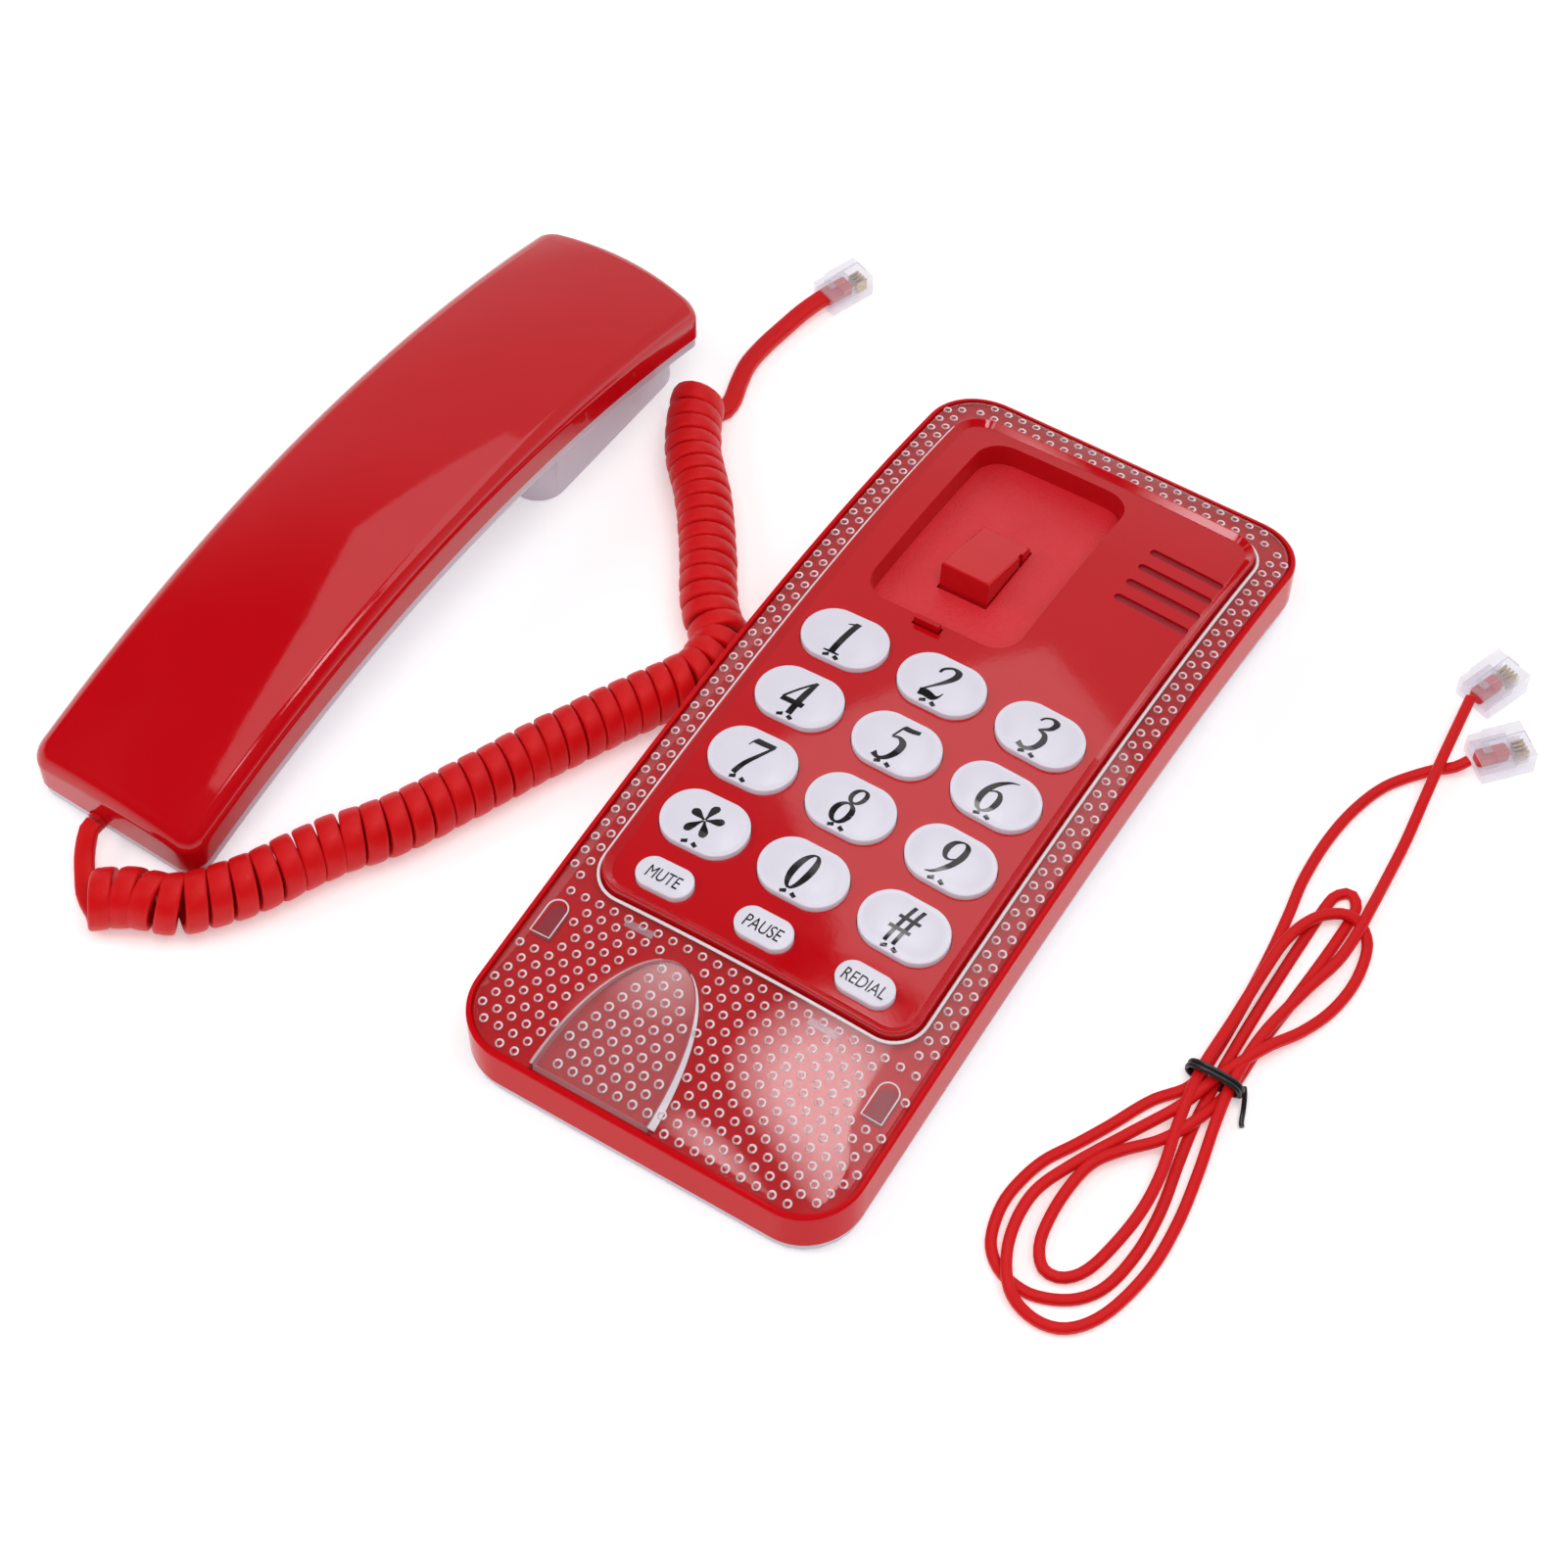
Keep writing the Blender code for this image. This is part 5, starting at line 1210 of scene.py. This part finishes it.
def build_scoop_glints():
    """Milky bands that paint the highlights where light collects in the walls of the thumb scoop, inside the
    clear cover.
    """
    level = COVER_TOP - GLINT_INSET
    for number, (start, end, wide_end, widest, look) in enumerate(GLINTS, 1):
        bm = bmesh.new()
        rows = []
        for i in range(GLINT_STEPS + 1):
            a = math.pi * (start + (end - start) * i / GLINT_STEPS)
            share = i / GLINT_STEPS if wide_end else 1 - i / GLINT_STEPS
            row = []
            for off in (GLINT_OFF, GLINT_OFF + GLINT_THIN + share * widest):
                x = MOUTH_X + (MOUTH_HALF + off) * math.cos(a)
                y = MOUTH_Y + (MOUTH_LENGTH + off) * math.sin(a)
                row.append(bm.verts.new((BASE_X + x, y, level + top_lift(x, y))))
            rows.append(row)
        for first, second in zip(rows, rows[1:]):
            bm.faces.new((first[0], first[1], second[1], second[0]))
        move_new(bm, bmesh.ops.extrude_face_region(bm, geom=bm.faces[:]), (0, 0, -GLINT_THICK))
        piece(new_object(f"scoop_glint_{number}", bm, look), "base", slot="clear_plastic")


ON_DECK, CLIP_MARKS = DECK_TOP + 0.02 * MM, ((-23.0, -63.4), (20.5, -63.6))


def build_cover_details():
    build_dimples()
    # The lip bead's milky clear paints the bright line of light along the cover's edge round the panel.
    bead("cover_lip", rounded_rect(0.85 * MM), COVER_TOP + 0.02 * MM, 0.36 * MM, CLEAR_EDGE_HIGHLIGHT)
    for i, (x, y) in enumerate(WINDOWS, 1):
        # Each window's rim bead takes the bright painted highlight.
        bead(f"window_rim_{i}", window_outline(x, y), COVER_TOP, 0.17 * MM, CLEAR_PAINTED_HIGHLIGHT)
        # A darker red patch on the deck under each window.
        flat_patch(f"window_fill_{i}", window_outline(x, y, -0.2 * MM), ON_DECK, 0.2 * MM, DARK_RED_FILL)
    build_scoop_glints()
    for i, (x, y) in enumerate(CLIP_MARKS, 1):
        mark = [(x + dx, y + dy) for dx, dy in ((-3.4, -0.8), (3.4, -0.8), (3.4, 0.8), (-3.4, 0.8))]
        flat_patch(f"clip_{i}", [(px * MM, py * MM) for px, py in mark], ON_DECK, 0.25 * MM, CLIP)


# --- carried-over solids ---------------------------------------------------------------------

CARRIED = {
    "rear_cover": PALE, "hook_tab": RED, "hook_switch": BLACK, "keypad_mat": RUBBER, "main_board": DARK,
    "ringer_disc": GOLD, "line_socket": BLACK, "handset_socket": BLACK, "receiver_capsule": BLACK,
    "microphone_capsule": BLACK, "handset_ballast": STEEL, "cord_grommet": RED_CORD,
}


def dress_carried():
    for i in range(1, 5):
        CARRIED[f"case_screw_{i}"] = STEEL
        CARRIED[f"foot_{i}"] = RUBBER
    for i in (1, 2):
        CARRIED[f"handset_screw_{i}"] = STEEL
    for name, look in CARRIED.items():
        for slot in bpy.data.objects[name].material_slots:
            slot.material = look


# --- camera, floor and light -----------------------------------------------------------------

CAMERA_AT, CAMERA_TO = (0.25304, -0.3579, 0.5770), (0.03134, -0.0067, 0.0)


def aim(obj, target):
    obj.rotation_euler = (Vector(target) - Vector(obj.location)).to_track_quat("-Z", "Y").to_euler()


def build_camera():
    data = bpy.data.cameras.new("view")
    data.lens, data.sensor_width = 76.45, 36
    camera = bpy.data.objects.new("view", data)
    bpy.context.scene.collection.objects.link(camera)
    camera.location = CAMERA_AT
    aim(camera, CAMERA_TO)
    bpy.context.scene.camera = camera


def build_floor():
    bm = bmesh.new()
    bmesh.ops.create_grid(bm, x_segments=1, y_segments=1, size=4)
    look = Look("floor_white")
    body = look.node("ShaderNodeBsdfDiffuse")
    glow = look.node("ShaderNodeEmission", Color=(1, 1, 1, 1), Strength=0.30)
    both = look.node("ShaderNodeAddShader")
    look.link(look.blend(look.noise(3.0), (0.90, 0.90, 0.90), (0.92, 0.92, 0.92)), body.inputs["Color"])
    look.link(body.outputs[0], both.inputs[0])
    look.link(glow.outputs[0], both.inputs[1])
    look.link(both.outputs[0], look.out.inputs[0])
    floor = new_object("studio_floor", bm, look.mat)
    floor.location = (0, 0, -0.0002)


def area(name, at, target, size, energy, glossy):
    data = bpy.data.lights.new(name, "AREA")
    data.shape, data.size, data.size_y, data.energy = "RECTANGLE", size[0], size[1], energy
    light = bpy.data.objects.new(name, data)
    bpy.context.scene.collection.objects.link(light)
    light.location = at
    aim(light, target)
    light.visible_glossy = glossy
    return light


def build_world():
    """A studio for reflections: dark overhead and pale towards the far side and the horizon."""
    world = bpy.data.worlds.new("studio")
    bpy.context.scene.world = world
    world.use_nodes = True
    tree = world.node_tree
    tree.nodes.clear()

    def math_node(operation, *values):
        made = tree.nodes.new("ShaderNodeMath")
        made.operation = operation
        for socket, value in zip(made.inputs, values):
            if isinstance(value, (int, float)):
                socket.default_value = value
            else:
                tree.links.new(value, socket)
        return made.outputs[0]

    def ramp(value, low, high, first, last):
        made = tree.nodes.new("ShaderNodeMapRange")
        made.interpolation_type = "SMOOTHSTEP"
        for socket, number in zip(made.inputs[1:5], (low, high, first, last)):
            socket.default_value = number
        tree.links.new(value, made.inputs[0])
        return made.outputs[0]

    split = tree.nodes.new("ShaderNodeSeparateXYZ")
    tree.links.new(tree.nodes.new("ShaderNodeTexCoord").outputs["Generated"], split.inputs[0])
    height = math_node("MAXIMUM", split.outputs["Z"], 0.06)
    y = math_node("DIVIDE", split.outputs["Y"], height)
    backdrop = math_node("ADD", ramp(y, 0.12, 0.75, 0.02, 0.52), ramp(y, 0.7, 1.9, 0.0, 0.14))
    level = math_node("ADD", backdrop, ramp(split.outputs["Z"], 0.34, 0.06, 0.0, 0.9))
    back = tree.nodes.new("ShaderNodeBackground")
    back.inputs["Color"].default_value = (1.0, 0.975, 1.0, 1)
    tree.links.new(level, back.inputs["Strength"])
    out = tree.nodes.new("ShaderNodeOutputWorld")
    tree.links.new(back.outputs[0], out.inputs[0])


# Softboxes that only show as reflections: height, outline in mm round the base's middle, strength, and a
# centre, inner and outer radius in mm where the light fades out
SOFTBOXES = {
    "panel": (
        520, ((-275, 235), (-110, 128), (-72, 70), (-28, 22), (60, -40), (200, 250), (-130, 460)), 1.7, None
    ),
    "handset": (
        150, ((-174, 26), (-143, 108), (-126, 108), (-126, -100), (-143, -100), (-152, -45), (-157, -20)),
        1.3, None,
    ),
    "cover": (
        322, ((-84, 50), (3, 50), (1, 10), (0, -12), (4, -26), (-4, -44), (-18, -66), (-38, -80), (-84, -60)),
        8.0, (-22, -12, 22, 56),
    ),
    "scoop": (322, ((-175, 12), (-100, 12), (-100, -66), (-175, -66)), 4.5, (-132, -24, 4, 38)),
    "near_edge": (322, ((-102, -84), (-38, -84), (-38, -130), (-102, -130)), 5.5, (-66, -106, 5, 30)),
}


def build_softboxes():
    for name, (height, outline, strength, fade) in SOFTBOXES.items():
        look = Look(name + "_light")
        glow = look.node("ShaderNodeEmission", Color=(1.0, 0.98, 1.0, 1), Strength=strength)
        if fade:
            spot = look.node("ShaderNodeTexCoord")
            reach = look.node("ShaderNodeVectorMath", operation="LENGTH")
            look.link(spot.outputs["Object"], reach.inputs[0])
            faded = look.span(reach.outputs["Value"], fade[2] * MM, fade[3] * MM, strength, 0.0)
            look.link(faded, glow.inputs["Strength"])
        look.link(glow.outputs[0], look.out.inputs[0])
        cx, cy = fade[:2] if fade else (0, 0)
        bm = bmesh.new()
        bm.faces.new([bm.verts.new(((x - cx) * MM, (y - cy) * MM, 0)) for x, y in outline])
        card = new_object(name + "_softbox", bm, look.mat)
        card.location = (BASE_X + cx * MM, cy * MM, height * MM)
        card.visible_camera = card.visible_diffuse = card.visible_shadow = card.visible_transmission = False


def build_lights():
    area("key", (0.35, -0.25, 1.30), (0.0, 0.0, 0.0), (1.2, 1.2), 13.6, False)
    area("fill", (-0.9, -0.6, 0.9), (0.0, 0.0, 0.0), (0.9, 0.9), 6.0, False)


bpy.context.scene.view_settings.view_transform = "Standard"
build_camera()
build_floor()
build_world()
build_softboxes()
build_lights()
build_cords()
build_housing()
build_cover()
build_cover_details()
build_face()
build_keys()
build_hook()
build_back_shell()
build_front_shell()
dress_carried()
